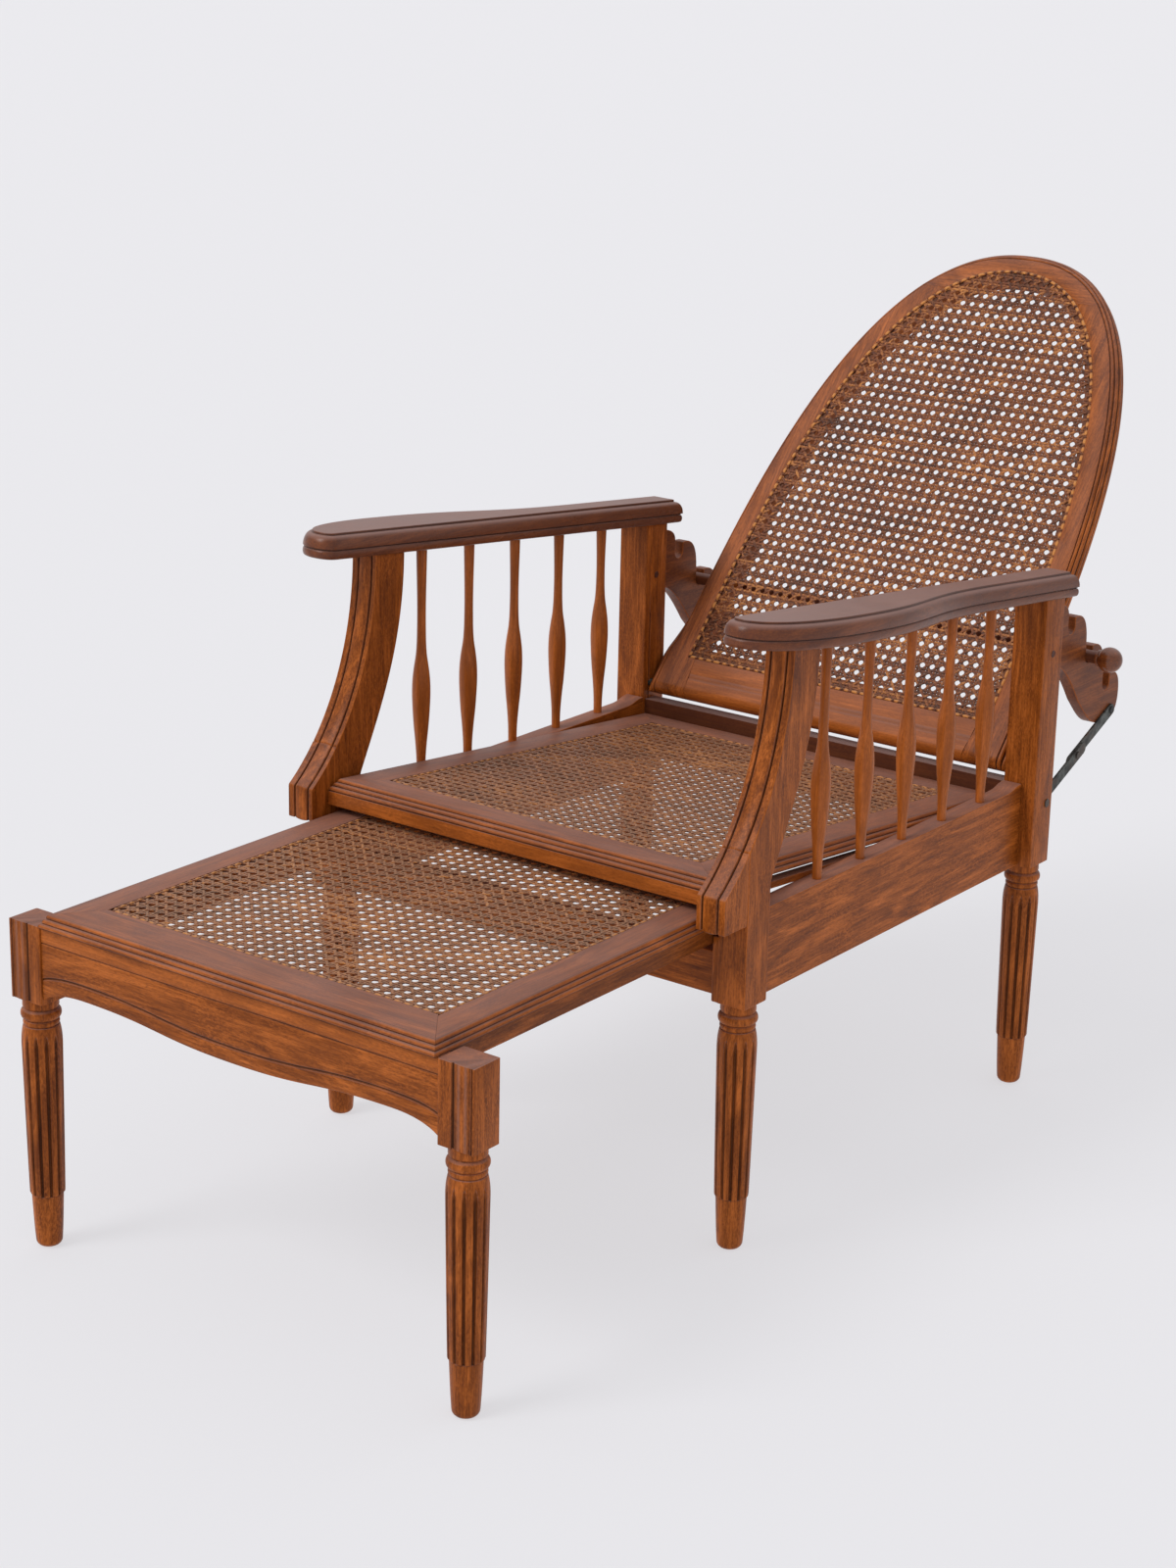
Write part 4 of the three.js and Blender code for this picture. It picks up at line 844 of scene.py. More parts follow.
class ARMCHAIR_OT_finishes(bpy.types.Operator):
    """Make the wood, cane and iron finishes"""

    bl_idname = "armchair.finishes"
    bl_label = "Finishes"

    def execute(self, context):
        colours = context.scene.armchair_colours
        upright, leaned = (0, 0, 0), (-BACK_LEAN, 0, 0)
        across, lengthwise = (0, QUARTER, 0), (QUARTER, 0, 0)
        wood("beech upright", upright, colours)
        wood("beech across", across, colours)
        wood("beech lengthwise", lengthwise, colours)
        wood("beech leaned", leaned, colours)
        wood("beech crest", across, colours, offset=0.37)
        wood("beech arm", lengthwise, colours, age=0.7, gloss=0.2, offset=0.21, shine=0.28)
        wood("beech knob", across, colours, age=0.45, gloss=0.1, offset=0.13, shine=0.5)
        wood("beech rack", lengthwise, colours, age=0.5, offset=0.31)
        # Darker copy: aged on the rear rail, and painted shade on the rest bar, which lies in the cane's
        # shadow.
        wood("beech aged and shaded", across, colours, age=0.8, offset=0.43)
        wood("beech spindle", upright, colours, gloss=0.24, offset=0.61, shine=0.24, pale=0.3)
        wood("beech peg", across, colours, age=1.0, offset=0.53)
        wood("beech clean", across, colours, offset=0.07, pale=0.3)
        cane_finish("split cane", colours)
        iron_finish("old iron", colours)
        return {"FINISHED"}


class ARMCHAIR_OT_front_legs(bpy.types.Operator):
    """Turned front legs with their blocks, sabre supports and glued toes"""

    bl_idname = "armchair.front_legs"
    bl_label = "Front legs"

    def execute(self, context):
        sizes = context.scene.armchair_legs
        timber, toe = self.outlines()
        width = SUPPORT_OUTER - POST_INNER
        centre = SUPPORT_OUTER - (SUPPORT_OUTER - BLOCK_INNER) / 2
        ledge = soften(np.array([(-19.9, 276.3), (19.9, 276.3), (19.9, 348), (-19.9, 348)]) * MM, 2 * MM)
        parts = [
            leg_shell((centre, 0), sizes),
            board(soften(timber, 2 * MM), POST_INNER, width, 1 * MM, support_carving),
            board(ledge, BLOCK_INNER, 10 * MM, 1 * MM),
        ]
        pair("front_leg_timber", parts, "beech upright", "chair", "front_leg")
        parts = [board(soften(toe, 2 * MM), POST_INNER, width, 0.5 * MM, support_carving)]
        pair("toe_block", parts, "beech upright", "chair", "arm_toe")
        return {"FINISHED"}

    def outlines(self):
        """Side views of the timber and of its toe, which share the sabre curve: the joint between
        them is the upright line 20 mm before the middle of the leg."""
        joint_line, block_top = -20 * MM, 368 * MM
        front, rear = sabre_front(), sabre_rear()
        above = front[front[:, 0] > joint_line]
        below = front[front[:, 0] <= joint_line]
        share = (above[-1, 0] - joint_line) / (above[-1, 0] - below[0, 0])
        joint = above[-1] + (below[0] - above[-1]) * share
        timber = chain(
            weighted([(joint_line, LEG_HEIGHT), (-joint_line, LEG_HEIGHT)], 0),
            weighted(rear, 0),
            weighted(above, 1),
            weighted([joint], 1),
            weighted([joint - (0, 7 * MM)], 0),
        )
        face = joint_line - 0.4 * MM
        toe = chain(
            weighted([(face, block_top), (face, joint[1] - 8 * MM)], 0),
            weighted([joint - (0.4 * MM, 0.4 * MM)], 1),
            weighted(below[below[:, 0] < joint[0] - 2 * MM], 1),
            weighted([(-61 * MM, block_top)], 1),
            weighted([(-54 * MM, block_top)], 0),
        )
        return timber, toe


class ARMCHAIR_OT_rear_legs(bpy.types.Operator):
    """Turned rear legs with their square posts"""

    bl_idname = "armchair.rear_legs"
    bl_label = "Rear legs"

    def execute(self, context):
        sizes = context.scene.armchair_legs
        low, high, top = WHEELBASE - POST_HALF, WHEELBASE + POST_HALF, 596 * MM
        centre = ((POST_INNER + POST_OUTER) / 2, WHEELBASE)
        y = np.linspace(high - 28 * MM, low + 6 * MM, 45)
        depth = 1.7 * MM * bump(y, low + 10 * MM, 1.5 * MM)
        groove = np.column_stack([np.full(len(y), POST_INNER), y, depth])
        near = [(POST_INNER, low, 0), (POST_OUTER, low, 0)]
        far = [(POST_OUTER, high, 0), (POST_INNER, high, 0)]
        loop = soften(chain(near, far, groove), 2 * MM, least=60)
        post = column(loop, LEG_HEIGHT, top, 1 * MM, (300 * MM, 484 * MM))
        pair("rear_leg_timber", [leg_shell(centre, sizes), post], "beech upright", "chair", "rear_leg")
        return {"FINISHED"}


class ARMCHAIR_OT_rails(bpy.types.Operator):
    """Side, front and rear rails, and the hidden strips"""

    bl_idname = "armchair.rails"
    bl_label = "Rails"

    def execute(self, context):
        front, rear, top, kick, under = 20.3 * MM, 551.7 * MM, 371 * MM, 376 * MM, 277 * MM
        bend = rear - 17 * MM
        rise = bezier((rear - 34 * MM, top), (bend, top), (bend, kick), (rear, kick), steps=16)
        loop = chain([(front, under), (rear, under)], rise[::-1], [(front, top)])
        rail = board(soften(loop, 1.8 * MM), POST_INNER, 24 * MM, 1 * MM)
        pair("long_rail", [rail], "beech lengthwise", "chair", "side_rail")
        for side_name in SIDES:
            dress(f"seat_bearer_{side_name}", "beech lengthwise", 0.8 * MM)
            dress(f"footrest_guide_{side_name}", "beech lengthwise", 0.5 * MM)
        dress("front_rail", "beech across", 1.2 * MM)
        dress("rear_rail", "beech aged and shaded", 1.2 * MM)
        return {"FINISHED"}


class ARMCHAIR_OT_spindles(bpy.types.Operator):
    """Turned spindles under the arms"""

    bl_idname = "armchair.spindles"
    bl_label = "Spindles"

    # Heights between the ends, and the radii there and at both ends, in millimetres.
    HEIGHTS = (392, 412, 432, 452, 470, 488, 502, 514, 527, 545)
    RADII = (5.0, 5.4, 6.8, 8.7, 10.0, 10.6, 9.9, 8.2, 6.4, 5.5, 5.1, 6.2)

    def execute(self, context):
        for side_name in SIDES:
            for number in range(1, 6):
                node = f"spindle_{side_name}_{number}"
                low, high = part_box(node)
                knots = np.array([low.z, *(height * MM for height in self.HEIGHTS), high.z + 1 * MM])
                z = np.linspace(knots[0], knots[-1], 75)
                radius = smooth_through(knots, np.array(self.RADII) * MM, z)
                centre = ((low.x + high.x) / 2, (low.y + high.y) / 2 - FRONT_LINE)
                part = turned(np.column_stack([radius, z]), centre, around=28)
                piece(f"turned_{node}", [part], "beech spindle", "chair", node)
        return {"FINISHED"}


class ARMCHAIR_OT_arms(bpy.types.Operator):
    """Shaped arms with a fillet, a quarter round and a bead round the edge"""

    bl_idname = "armchair.arms"
    bl_label = "Arms"

    def execute(self, context):
        plan = self.plan()
        inset, level, shade = self.moulding()
        rim = plan[None] - outward(plan)[None] * inset[:, None, None]
        cosine, sine = math.cos(ARM_SLOPE), math.sin(ARM_SLOPE)
        along = rim[..., 1] - ARM_FRONT[0]
        up = np.broadcast_to(level[:, None], along.shape)
        back = along * cosine + up * sine + ARM_FRONT[0] + FRONT_LINE
        rings = np.stack([rim[..., 0], back, -along * sine + up * cosine + ARM_FRONT[1]], -1)
        arm = tube(rings, np.broadcast_to(shade[:, None], along.shape))
        pair("moulded_arm", [arm], "beech arm", "chair", "arm", sharp=40)
        return {"FINISHED"}

    def plan(self):
        """Seen from above: straight inside, rounded at the nose, full in front and waisted behind."""
        inner, width, nose_width, waist_width = 253 * MM, 78 * MM, 23 * MM, 48 * MM
        nose, full_back, waist_back, tail = -38 * MM, 114 * MM, 430 * MM, 622 * MM
        full, waist, middle = inner + width, inner + waist_width, (full_back + waist_back) / 2
        start, turn_in = inner + nose_width, 20 * MM + nose
        straight = np.linspace(tail - 12 * MM, turn_in, 30)
        return chain(
            [(inner, tail)],
            np.column_stack([np.full(len(straight), inner), straight]),
            bezier((inner, turn_in), (inner, nose), (start, nose), steps=20),
            bezier((start, nose), ((start + full) / 2, nose), (full, 0), (full, full_back), steps=40),
            bezier((full, full_back), (full, middle), (waist, middle), (waist, waist_back), steps=30),
            bezier((waist, waist_back), (waist, tail), steps=10),
        )

    def moulding(self):
        """Edge from below: inset, level and darkness of a bead, a quirk, a quarter round and a fillet."""
        bead = np.linspace(-QUARTER, QUARTER, 11)
        ovolo = np.linspace(0, QUARTER, 10)
        lines = [(3.2, 0.0)]
        lines += [(2.4 - 2.2 * math.cos(a), 5.0 + 4.6 * math.sin(a)) for a in bead]
        lines += [(1.6, 10.1), (1.6, 10.8), (0.3, 11.1)]
        lines += [(7.6 * (1 - math.cos(a)), 11.4 + 13.6 * math.sin(a)) for a in ovolo]
        lines += [(8.4, 25.2), (8.9, 25.4), (9.0, 27.3), (9.4, 27.8), (10.4, 28.0)]
        shade = np.zeros(len(lines))
        # The quirk above the bead and the line under the top fillet are painted dark: grime and painted
        # shade.
        shade[12:14] = 0.9
        shade[-5:-2] = (0.8, 0.8, 0.3)
        inset, level = np.array(lines).T * MM
        return inset, level, shade


class ARMCHAIR_OT_seat(bpy.types.Operator):
    """Mitred seat frame with a reeded edge"""

    bl_idname = "armchair.seat"
    bl_label = "Seat frame"

    def execute(self, context):
        width, out = 45 * MM, 10 * MM
        # The front's plain face is painted paler by its tone -0.6: worn specks and painted light on the lit
        # face.
        front = member_loop(width, 30 * MM, out, -10 * MM, -0.6)
        side = member_loop(width, 20 * MM, out, 1.6 * MM)
        mitred_frame("seat", (front, side, side), SEAT_REACH, SEAT_RUN, 1.0, on_seat, "chair")
        return {"FINISHED"}


class ARMCHAIR_OT_footrest(bpy.types.Operator):
    """Footrest frame, apron, legs and rod"""

    bl_idname = "armchair.footrest"
    bl_label = "Footrest"

    LEG_LINE = -445.2 * MM
    APRON_FRONT = -461.7 * MM

    def execute(self, context):
        sizes = context.scene.armchair_legs
        wide, narrow, deep, out = 55 * MM, 42 * MM, 36 * MM, 8 * MM
        sections = (
            member_loop(wide, deep, out * wide / narrow, 1.6 * MM),
            member_loop(wide, 15.5 * MM, out * wide / narrow, 0.5 * MM),
            # The sides' plain face under the reeds is painted darker by its tone 0.4: painted shade in the
            # recess.
            member_loop(narrow, deep, out, 0, 0.4),
        )
        share = narrow / wide
        mitred_frame("footrest", sections, FOOTREST_REACH, FOOTREST_RUN, share, on_footrest, "footrest")
        piece("shaped_apron", [self.apron()], "beech across", "footrest", "footrest_apron")
        inner, width = 258 * MM, 43 * MM
        parts = [
            leg_shell((inner + width / 2, self.LEG_LINE), sizes),
            column(self.block(inner, width), LEG_HEIGHT, APRON_TOP, 0.5 * MM),
        ]
        pair("footrest_leg_timber", parts, "beech upright", "footrest", "footrest_leg")
        dress("footrest_axle", "beech across")
        return {"FINISHED"}

    def block(self, inner, width):
        """Square block from above, with a groove, a hollow band and a fine line down its front."""
        front, rear = self.LEG_LINE - 19 * MM, self.LEG_LINE + 19 * MM
        share = np.concatenate([[0], np.linspace(0.1, 0.96, 59), [1]])
        band = (share > 0.44) * (share < 0.9) * (1 - np.sin(np.clip((share - 0.44) / 0.46, 0, 1) * np.pi))
        carved = (2.0 * bump(share, 0.41, 0.045) + 1.4 * bump(share, 0.93, 0.025) + 0.8 * band) * MM
        carved[[0, -1]] = 0
        face = np.column_stack([inner + width * share, np.full(len(share), front), carved])
        return soften(chain(face, [(inner + width, rear, 0), (inner, rear, 0)]), 2 * MM, least=60)

    def apron_edge(self):
        """Lower edge from left to right, with the level that its carved line keeps: a shallow bow
        between two cusps, and beyond them a fall to the heels."""
        reach = 257.7 * MM
        centre, cusp, heel = APRON_TOP - 77 * MM, APRON_TOP - 66 * MM, APRON_TOP - 79 * MM
        cusp_x, heel_x = reach * 0.78, reach * 0.93
        half = np.concatenate([
            bezier((0, centre), (cusp_x / 2, centre), (cusp_x / 2, cusp), (cusp_x, cusp), steps=50),
            bezier((cusp_x, cusp), (heel_x, cusp), (reach, heel), steps=30)[1:],
        ])
        edge = np.concatenate([half[:0:-1] * (-1, 1), half])
        return edge, np.where(np.abs(edge[:, 0]) < cusp_x, edge[:, 1], cusp - 0.55 * (cusp - edge[:, 1]))

    def apron(self):
        """Board with a shaped lower edge: at each place along it the section runs up the front, with
        a carved line a fixed height above the edge and a rubbed strip along the top, over the top
        and down the back."""
        edge, level = self.apron_edge()
        arris = np.array([0, 0.4, 1.2])
        band = np.array([4, 8, 12, 14, 15.5, 16.2, 16.8, 17.4, 18.0, 18.8])
        field = np.array([24, 34, 44])
        rise = np.concatenate([arris, band, field]) * MM
        lift = np.concatenate([arris * 0, np.clip((band - 1.2) / 10.8, 0, 1), field * 0 + 1])
        hollow = 0.55 * ((band[:5] - 8) / 8) ** 2
        sunk = np.concatenate([[1.5, 0.9, 0.6], hollow, [0.8, 1.2, 1.0, 0.4, 0.1], field * 0]) * MM
        up = rise[None, :] + (level - edge[:, 1])[:, None] * lift[None, :]
        strip = np.array([-18.4, -17.6, -17.1, -16.5, -15.8, -9, -3]) * MM
        strip_sunk = np.array([0.2, 0.6, 0.9, 0.3, 0, 0, 0]) * MM
        over = np.array([(0, -1.2), (0.4, -0.4), (1.2, 0), (16.8, 0), (18, -1.2)]) * MM
        under = np.array([(18, 1.2), (17.6, 0.4), (16.8, 0), (2.4, 0)]) * MM

        def run(depth, height):
            """Lines along the board, at depths behind its front and at heights."""
            shape = (len(edge), len(depth))
            places = (edge[:, :1], self.APRON_FRONT + depth + FRONT_LINE, height)
            return np.stack([np.broadcast_to(place, shape) for place in places], -1)

        rings = np.concatenate([
            run(sunk, edge[:, 1:] + up),
            run(strip_sunk, APRON_TOP + strip),
            run(over[:, 0], APRON_TOP + over[:, 1]),
            run(under[:, 0], edge[:, 1:] + under[:, 1]),
        ], 1)
        # The carved line and the groove under the top strip are painted dark, grime and painted shade; the
        # top strip is paler with wear.
        carved, rubbed = [0.1, 0.7, 1, 0.9, 0.2], [0.6, 0.9, 0.4, -0.45, -0.55, -0.45]
        dark = np.concatenate([np.zeros(7), carved, np.zeros(5), rubbed, np.zeros(9)])
        return tube(rings, np.broadcast_to(dark, rings.shape[:2]))


class ARMCHAIR_OT_back(bpy.types.Operator):
    """Arched back frame: two stiles, the crest and the bottom rail"""

    bl_idname = "armchair.back"
    bl_label = "Back frame"

    SCARF_GAP = 0.0006

    def execute(self, context):
        high = {kind: turn_at(kind, 608 * MM) for kind in ARCHES}
        pair("arched_stile", [self.stile(high)], "beech leaned", "backrest", "back_stile")
        crown = {
            kind: arch(kind, np.linspace(top + self.SCARF_GAP, math.pi - top - self.SCARF_GAP, 90))
            for kind, top in high.items()
        }
        piece("arched_crest", [self.frame_run(crown)], "beech crest", "backrest", "back_crest")
        piece("rounded_bottom_rail", [self.bottom_rail()], "beech clean", "backrest", "back_bottom_rail")
        return {"FINISHED"}

    def stile(self, high):
        """Right stile, from its rounded foot along the bottom rail's joint and the arches to the scarf."""
        ear, ear_top, outer_start = 256.5 * MM, 45 * MM, 92 * MM
        heights = np.array([-11.4, -10.8, -9.4, -7, -3.5, 0, 8, 16, 24, 31, 38.5]) * MM
        joint = np.column_stack([stile_joint(heights) + 0.15 * MM, heights])
        edges = {}
        for kind in ("recess", "opening"):
            low = turn_at(kind, 39 * MM)
            run = arch(kind, low + (high[kind] - low) * np.linspace(0, 1, 72) ** 1.15)
            edges[kind] = np.concatenate([joint, run])
        low = turn_at("outer", outer_start)
        neck = np.linspace(0, 1, 9)[1:-1, None]
        blend = np.array([ear, ear_top]) * (1 - neck) + arch("outer", low) * neck
        run = arch("outer", low + (high["outer"] - low) * np.linspace(0, 1, 65) ** 1.15)
        plain = np.column_stack([np.full(len(heights), ear), heights])
        edges["outer"] = np.concatenate([plain, blend, run])
        return self.frame_run(edges, footed=True)

    def front_section(self):
        """Front and outer face from the recess outwards and back: inset from the outer edge and depth
        of three reeds between quirks, then the plain edge. A reed is start + run (1 - cos a) +
        swell sin a."""
        turn = np.linspace(0, np.pi, 8)[:, None]

        def reed(start, run, swell):
            return start + np.array(run) * (1 - np.cos(turn)) + np.array(swell) * np.sin(turn)

        section = np.concatenate([
            [(14.6, 0), (14.0, 0.2), (13.6, 1.9), (12.7, 2.0)],
            reed((12.6, 1.7), (-2.2, 1.1), (-0.7, -1.6)),
            [(8.1, 5.4), (7.2, 5.9)],
            reed((7.1, 5.6), (-2.0, 1.9), (-1.0, -1.3)),
            [(3.1, 10.9), (2.4, 11.8)],
            reed((2.3, 11.8), (-0.8, 2.4), (-1.3, -0.7)),
            [(1.1, 17.2), (0.5, 17.9), (0, 18.6), (0, 21.6), (0.5, 22.7), (1.6, 23)],
        ])
        dark = np.zeros(len(section))
        # Quirks between the reeds are painted dark: grime and painted shade.
        dark[[2, 3, 12, 13, 22, 23, 32]] = 1
        return np.maximum(section, 0) * MM, dark

    def frame_run(self, edges, footed=False):
        """A run of the frame: at each station the section lies between the outer edge, the edge of
        the recess and the edge of the opening. Each point is counted from the nearest of them, with
        its depth from the front face as the second number. Below the pivot a footed run is squeezed
        to a half circle, half * sqrt(1 - (z / half)^2)."""
        outer, recess, opening = edges["outer"], edges["recess"], edges["opening"]
        section, dark = self.front_section()
        behind = np.array([(1, 23), (0.1, 22.2), (0, 20), (0, 4), (0.5, 3.2), (2, 3.0)]) * MM
        wall = np.array([(0, 3.0), (0, 0.8), (0.25, 0.25), (0.9, 0)]) * MM
        across = recess - outer
        unit = (across / np.linalg.norm(across, axis=1)[:, None])[:, None]
        ledge = opening - recess
        width = np.maximum(np.linalg.norm(ledge, axis=1), 1e-6)[:, None]
        inwards = (ledge / width)[:, None]
        near_outer = outer[:, None] + unit * section[None, :, :1]
        near_opening = opening[:, None] - inwards * np.minimum(behind[None, :, 0], 0.4 * width)[..., None]
        near_recess = recess[:, None] - unit * wall[None, :, :1]
        places = np.concatenate([near_outer, near_opening, near_recess], 1)
        depth = np.concatenate([section[:, 1], behind[:, 1], wall[:, 1]])
        depths = np.broadcast_to(depth, places.shape[:2])
        if footed:
            squeeze = np.sqrt(np.clip(1 - (np.minimum(places[..., 1], 0) / BACK_HALF) ** 2, 0.01, 1))
            depths = BACK_HALF + (depths - BACK_HALF) * squeeze
        flat = np.stack([places[..., 0], depths, places[..., 1]], -1)
        # The ledge under the cane is painted darker: painted shade.
        painted_ledge_shade = [0, 0, 0, 0, 0.5, 0.7, 0.9, 0.7, 0, 0]
        shade = np.concatenate([dark, painted_ledge_shade])
        return tube(on_back(flat), np.broadcast_to(shade, places.shape[:2]))

    def bottom_rail(self):
        """Straight rail whose section is a half circle about the pivot below and square above, with
        the ledge for the cane; its ends lean outwards with the joint."""
        turn = np.linspace(np.pi, 2 * np.pi, 19)
        hinge = BACK_HALF * np.column_stack([1 + np.cos(turn), np.sin(turn)])
        front = [(0.9, 38.7), (0.25, 38.45), (0, 37.8), (0, 24)]
        front += [(0.3, 19), (0.9, 14), (0.9, 12.5), (0.5, 9.5), (0, 5)]
        rear = [(23, 12), (23, 54), (22.2, 54.8)]
        rear += [(4, 54.8), (3.2, 54.2), (3, 52.5), (3, 39.3), (2, 38.7)]
        section = np.concatenate([np.array(front) * MM, hinge, np.array(rear) * MM])
        reach = stile_joint(section[:, 1]) - 0.15 * MM
        x = np.linspace(-1, 1, 7)[:, None] * reach[None, :]
        rings = np.stack([x, *(np.broadcast_to(section[:, k], x.shape) for k in (0, 1))], -1)
        # A slight recess on the front is painted darker, grime and painted shade, and the ledge under the
        # cane painted shade.
        shade = np.zeros(len(section))
        shade[5:7] = 0.25
        shade[-5:] = (0.6, 0.6, 0.6, 0.9, 0.9)
        return tube(on_back(rings), np.broadcast_to(shade, x.shape))


class ARMCHAIR_OT_cane(bpy.types.Operator):
    """Woven cane of the seat, the footrest and the back"""

    bl_idname = "armchair.cane"
    bl_label = "Cane"

    def execute(self, context):
        sizes = context.scene.armchair_cane
        seat = self.rectangle(SEAT_REACH - 37 * MM, 37 * MM, SEAT_RUN - 37 * MM)
        self.panel("seat", seat, on_seat, "chair", sizes, seed=3, border=0.62, full=1.22)
        footrest = self.rectangle(FOOTREST_REACH - 34 * MM, 47 * MM, FOOTREST_RUN - 47 * MM)
        self.panel("footrest", footrest, on_footrest, "footrest", sizes, seed=5, border=0.62, full=1.1)
        start = turn_at("recess", 39.3 * MM)
        recess = arch("recess", np.linspace(start, math.pi - start, 121))

        def lay(points):
            return on_back(np.stack([points[..., 0], -points[..., 2], points[..., 1]], -1))

        self.panel("back", recess, lay, "backrest", sizes, seed=7, border=0.85, full=1.2, over=0.35)
        return {"FINISHED"}

    def rectangle(self, reach, low, high):
        """Outline of a rectangular panel with rounded corners."""
        corners = np.array([(-reach, low), (reach, low), (reach, high), (-reach, high)])
        return soften(corners, 12 * MM, steps=6)

    def panel(self, name, outline, lay, body, sizes, seed, border, full, over=0.0):
        """All strands of a panel, woven flat and laid in place: border and full are shares of the
        binder's width and of the strands' width, and over is how far the binder lies over the edge
        of the frame, as a share of its own width."""
        chance = np.random.default_rng(seed)
        parts = self.strands(outline, lay, sizes, chance, full)
        parts += self.binder(outline, lay, sizes, chance, border, over)
        piece(f"{name}_weave", parts, "split cane", body, f"{name}_cane", sharp=60)

    def families(self, sizes, full):
        """Direction, direction across, shift, width, height at a point, step along a strand, spacing
        and phase of each family. Pairs of upright and level strands pass at whole pitches, and the
        slanting strands at half pitches, so that an eight-sided hole stays open in each cell. All
        rise and fall as cosines with the pitch as their wavelength."""
        pitch, rise, pair_rise = sizes.pitch, sizes.rise, 0.4 * MM
        wave, half = 2 * np.pi / pitch, math.sqrt(0.5)
        upright, level, rising, falling = (0, 1), (1, 0), (half, half), (half, -half)

        def hump(axis, height):
            return lambda point: height * (1 + np.cos(wave * point[:, axis])) / 2

        def swing(height):
            return lambda point: height * np.cos(wave * point[:, 0])

        strand, slant, fine = sizes.strand * full, sizes.slant * full, pitch / half / 4
        rows = []
        for shift in (-sizes.spread * full, sizes.spread * full):
            rows.append((upright, level, shift, strand, hump(1, -pair_rise), pitch / 2, pitch, 0.0))
            rows.append((level, upright, shift, strand, hump(0, pair_rise), pitch / 2, pitch, 0.0))
        rows.append((rising, falling, 0.0, slant, swing(rise), fine, pitch * half, 0.5))
        rows.append((falling, rising, 0.0, slant, swing(-rise), fine, pitch * half, 0.5))
        return rows

    def strands(self, outline, lay, sizes, chance, full):
        """Flat strips between the points where their lines enter and leave the outline. Each sways
        a little to the sides by a sine, and has its own tone."""
        middle_level, sway_height, sway_wave, near_end = -1.7 * MM, 0.12 * MM, (186.0, 282.0), 0.2
        low, high = outline.min(0), outline.max(0)
        centre = (low + high) / 2
        section = np.array([(-0.5, -0.5), (0.5, -0.5), (0.38, 0.5), (-0.38, 0.5)])
        parts = []
        for along, across, shift, width, height, step, spacing, phase in self.families(sizes, full):
            along, across = np.array(along), np.array(across)
            sides = section * (width, sizes.thickness)
            count = int(np.linalg.norm(high - low) / spacing) + 2
            for number in range(-count, count + 1):
                base = across * ((number + phase) * spacing + shift)
                ends = self.chord(outline - centre, base, along)
                if ends is None:
                    continue
                first, last = ends
                start, end = math.ceil(first / step + near_end), math.floor(last / step - near_end)
                whole = np.arange(start, end + 1)
                line = base + np.concatenate([[first], whole * step, [last]])[:, None] * along
                level = height(line) + middle_level
                sway = sway_height * np.sin(line @ sway_wave + chance.uniform(0, 6))
                line = line + centre + across * sway[:, None]
                flat = line[:, None] + across * sides[None, :, :1]
                tone = chance.uniform(0.05, 0.85)
                parts.append(self.strip(flat, level[:, None] + sides[None, :, 1], tone, lay))
        return parts

    def strip(self, flat, level, tone, lay):
        """A strand from the flat places and the levels of its rings."""
        rings = np.concatenate([flat, level[..., None]], -1)
        return tube(lay(rings), np.full(level.shape, tone))

    def chord(self, outline, base, along):
        """Where a line base + t along enters and leaves a convex outline, or None."""
        shortest = 3 * MM
        normal = np.array([-along[1], along[0]])
        away = (outline - base) @ normal
        after = np.roll(away, -1)
        crossing = (away > 0) != (after > 0)
        if crossing.sum() < 2:
            return None
        share = away[crossing] / (away[crossing] - after[crossing])
        ends = outline[crossing] + (np.roll(outline, -1, 0) - outline)[crossing] * share[:, None]
        t = (ends - base) @ along
        return (t.min(), t.max()) if t.max() - t.min() > shortest else None

    def binder(self, outline, lay, sizes, chance, share, over):
        """Strand round the edge, held down by a loop at each hole of the frame: between two loops
        it bulges by a cosine and is painted paler, a painted highlight on each bulge. The share narrows it."""
        points_per_loop, hole_pitch = 6, 0.88 * sizes.pitch
        width = share * sizes.binder
        closed = np.concatenate([outline, outline[:1]])
        length = np.concatenate([[0], np.cumsum(np.linalg.norm(np.diff(closed, axis=0), axis=1))])
        loops = int(length[-1] / hole_pitch)
        place = np.linspace(0, length[-1], loops * points_per_loop, endpoint=False)
        line = np.stack([np.interp(place, length, closed[:, k]) for k in (0, 1)], -1)
        normals = outward(line)
        line = line - normals * (width / 2 + 0.6 * MM - over * 2.6 * MM)
        beat = 2 * np.pi * loops * place / length[-1]
        level = (-0.7 + over * 1.3 - 0.5 * np.cos(beat)) * MM
        sides = np.array([(-0.5, -0.5), (0.5, -0.5), (0.42, 0.3), (0, 0.62), (-0.42, 0.3)])
        sides = sides * (width, 0.9 * MM)
        flat = line[:, None] + normals[:, None] * sides[None, :, :1]
        rings = np.concatenate([flat, (level[:, None] + sides[None, :, 1])[..., None]], -1)
        # Tone: a painted highlight on each bulge and painted shade at each loop, with a random tone per
        # loop.
        tone = 0.95 - 0.65 * np.cos(beat) + np.repeat(chance.uniform(-0.35, 0.3, loops), points_per_loop)
        parts = [hoop(lay(rings), np.repeat(tone[:, None], len(sides), 1))]

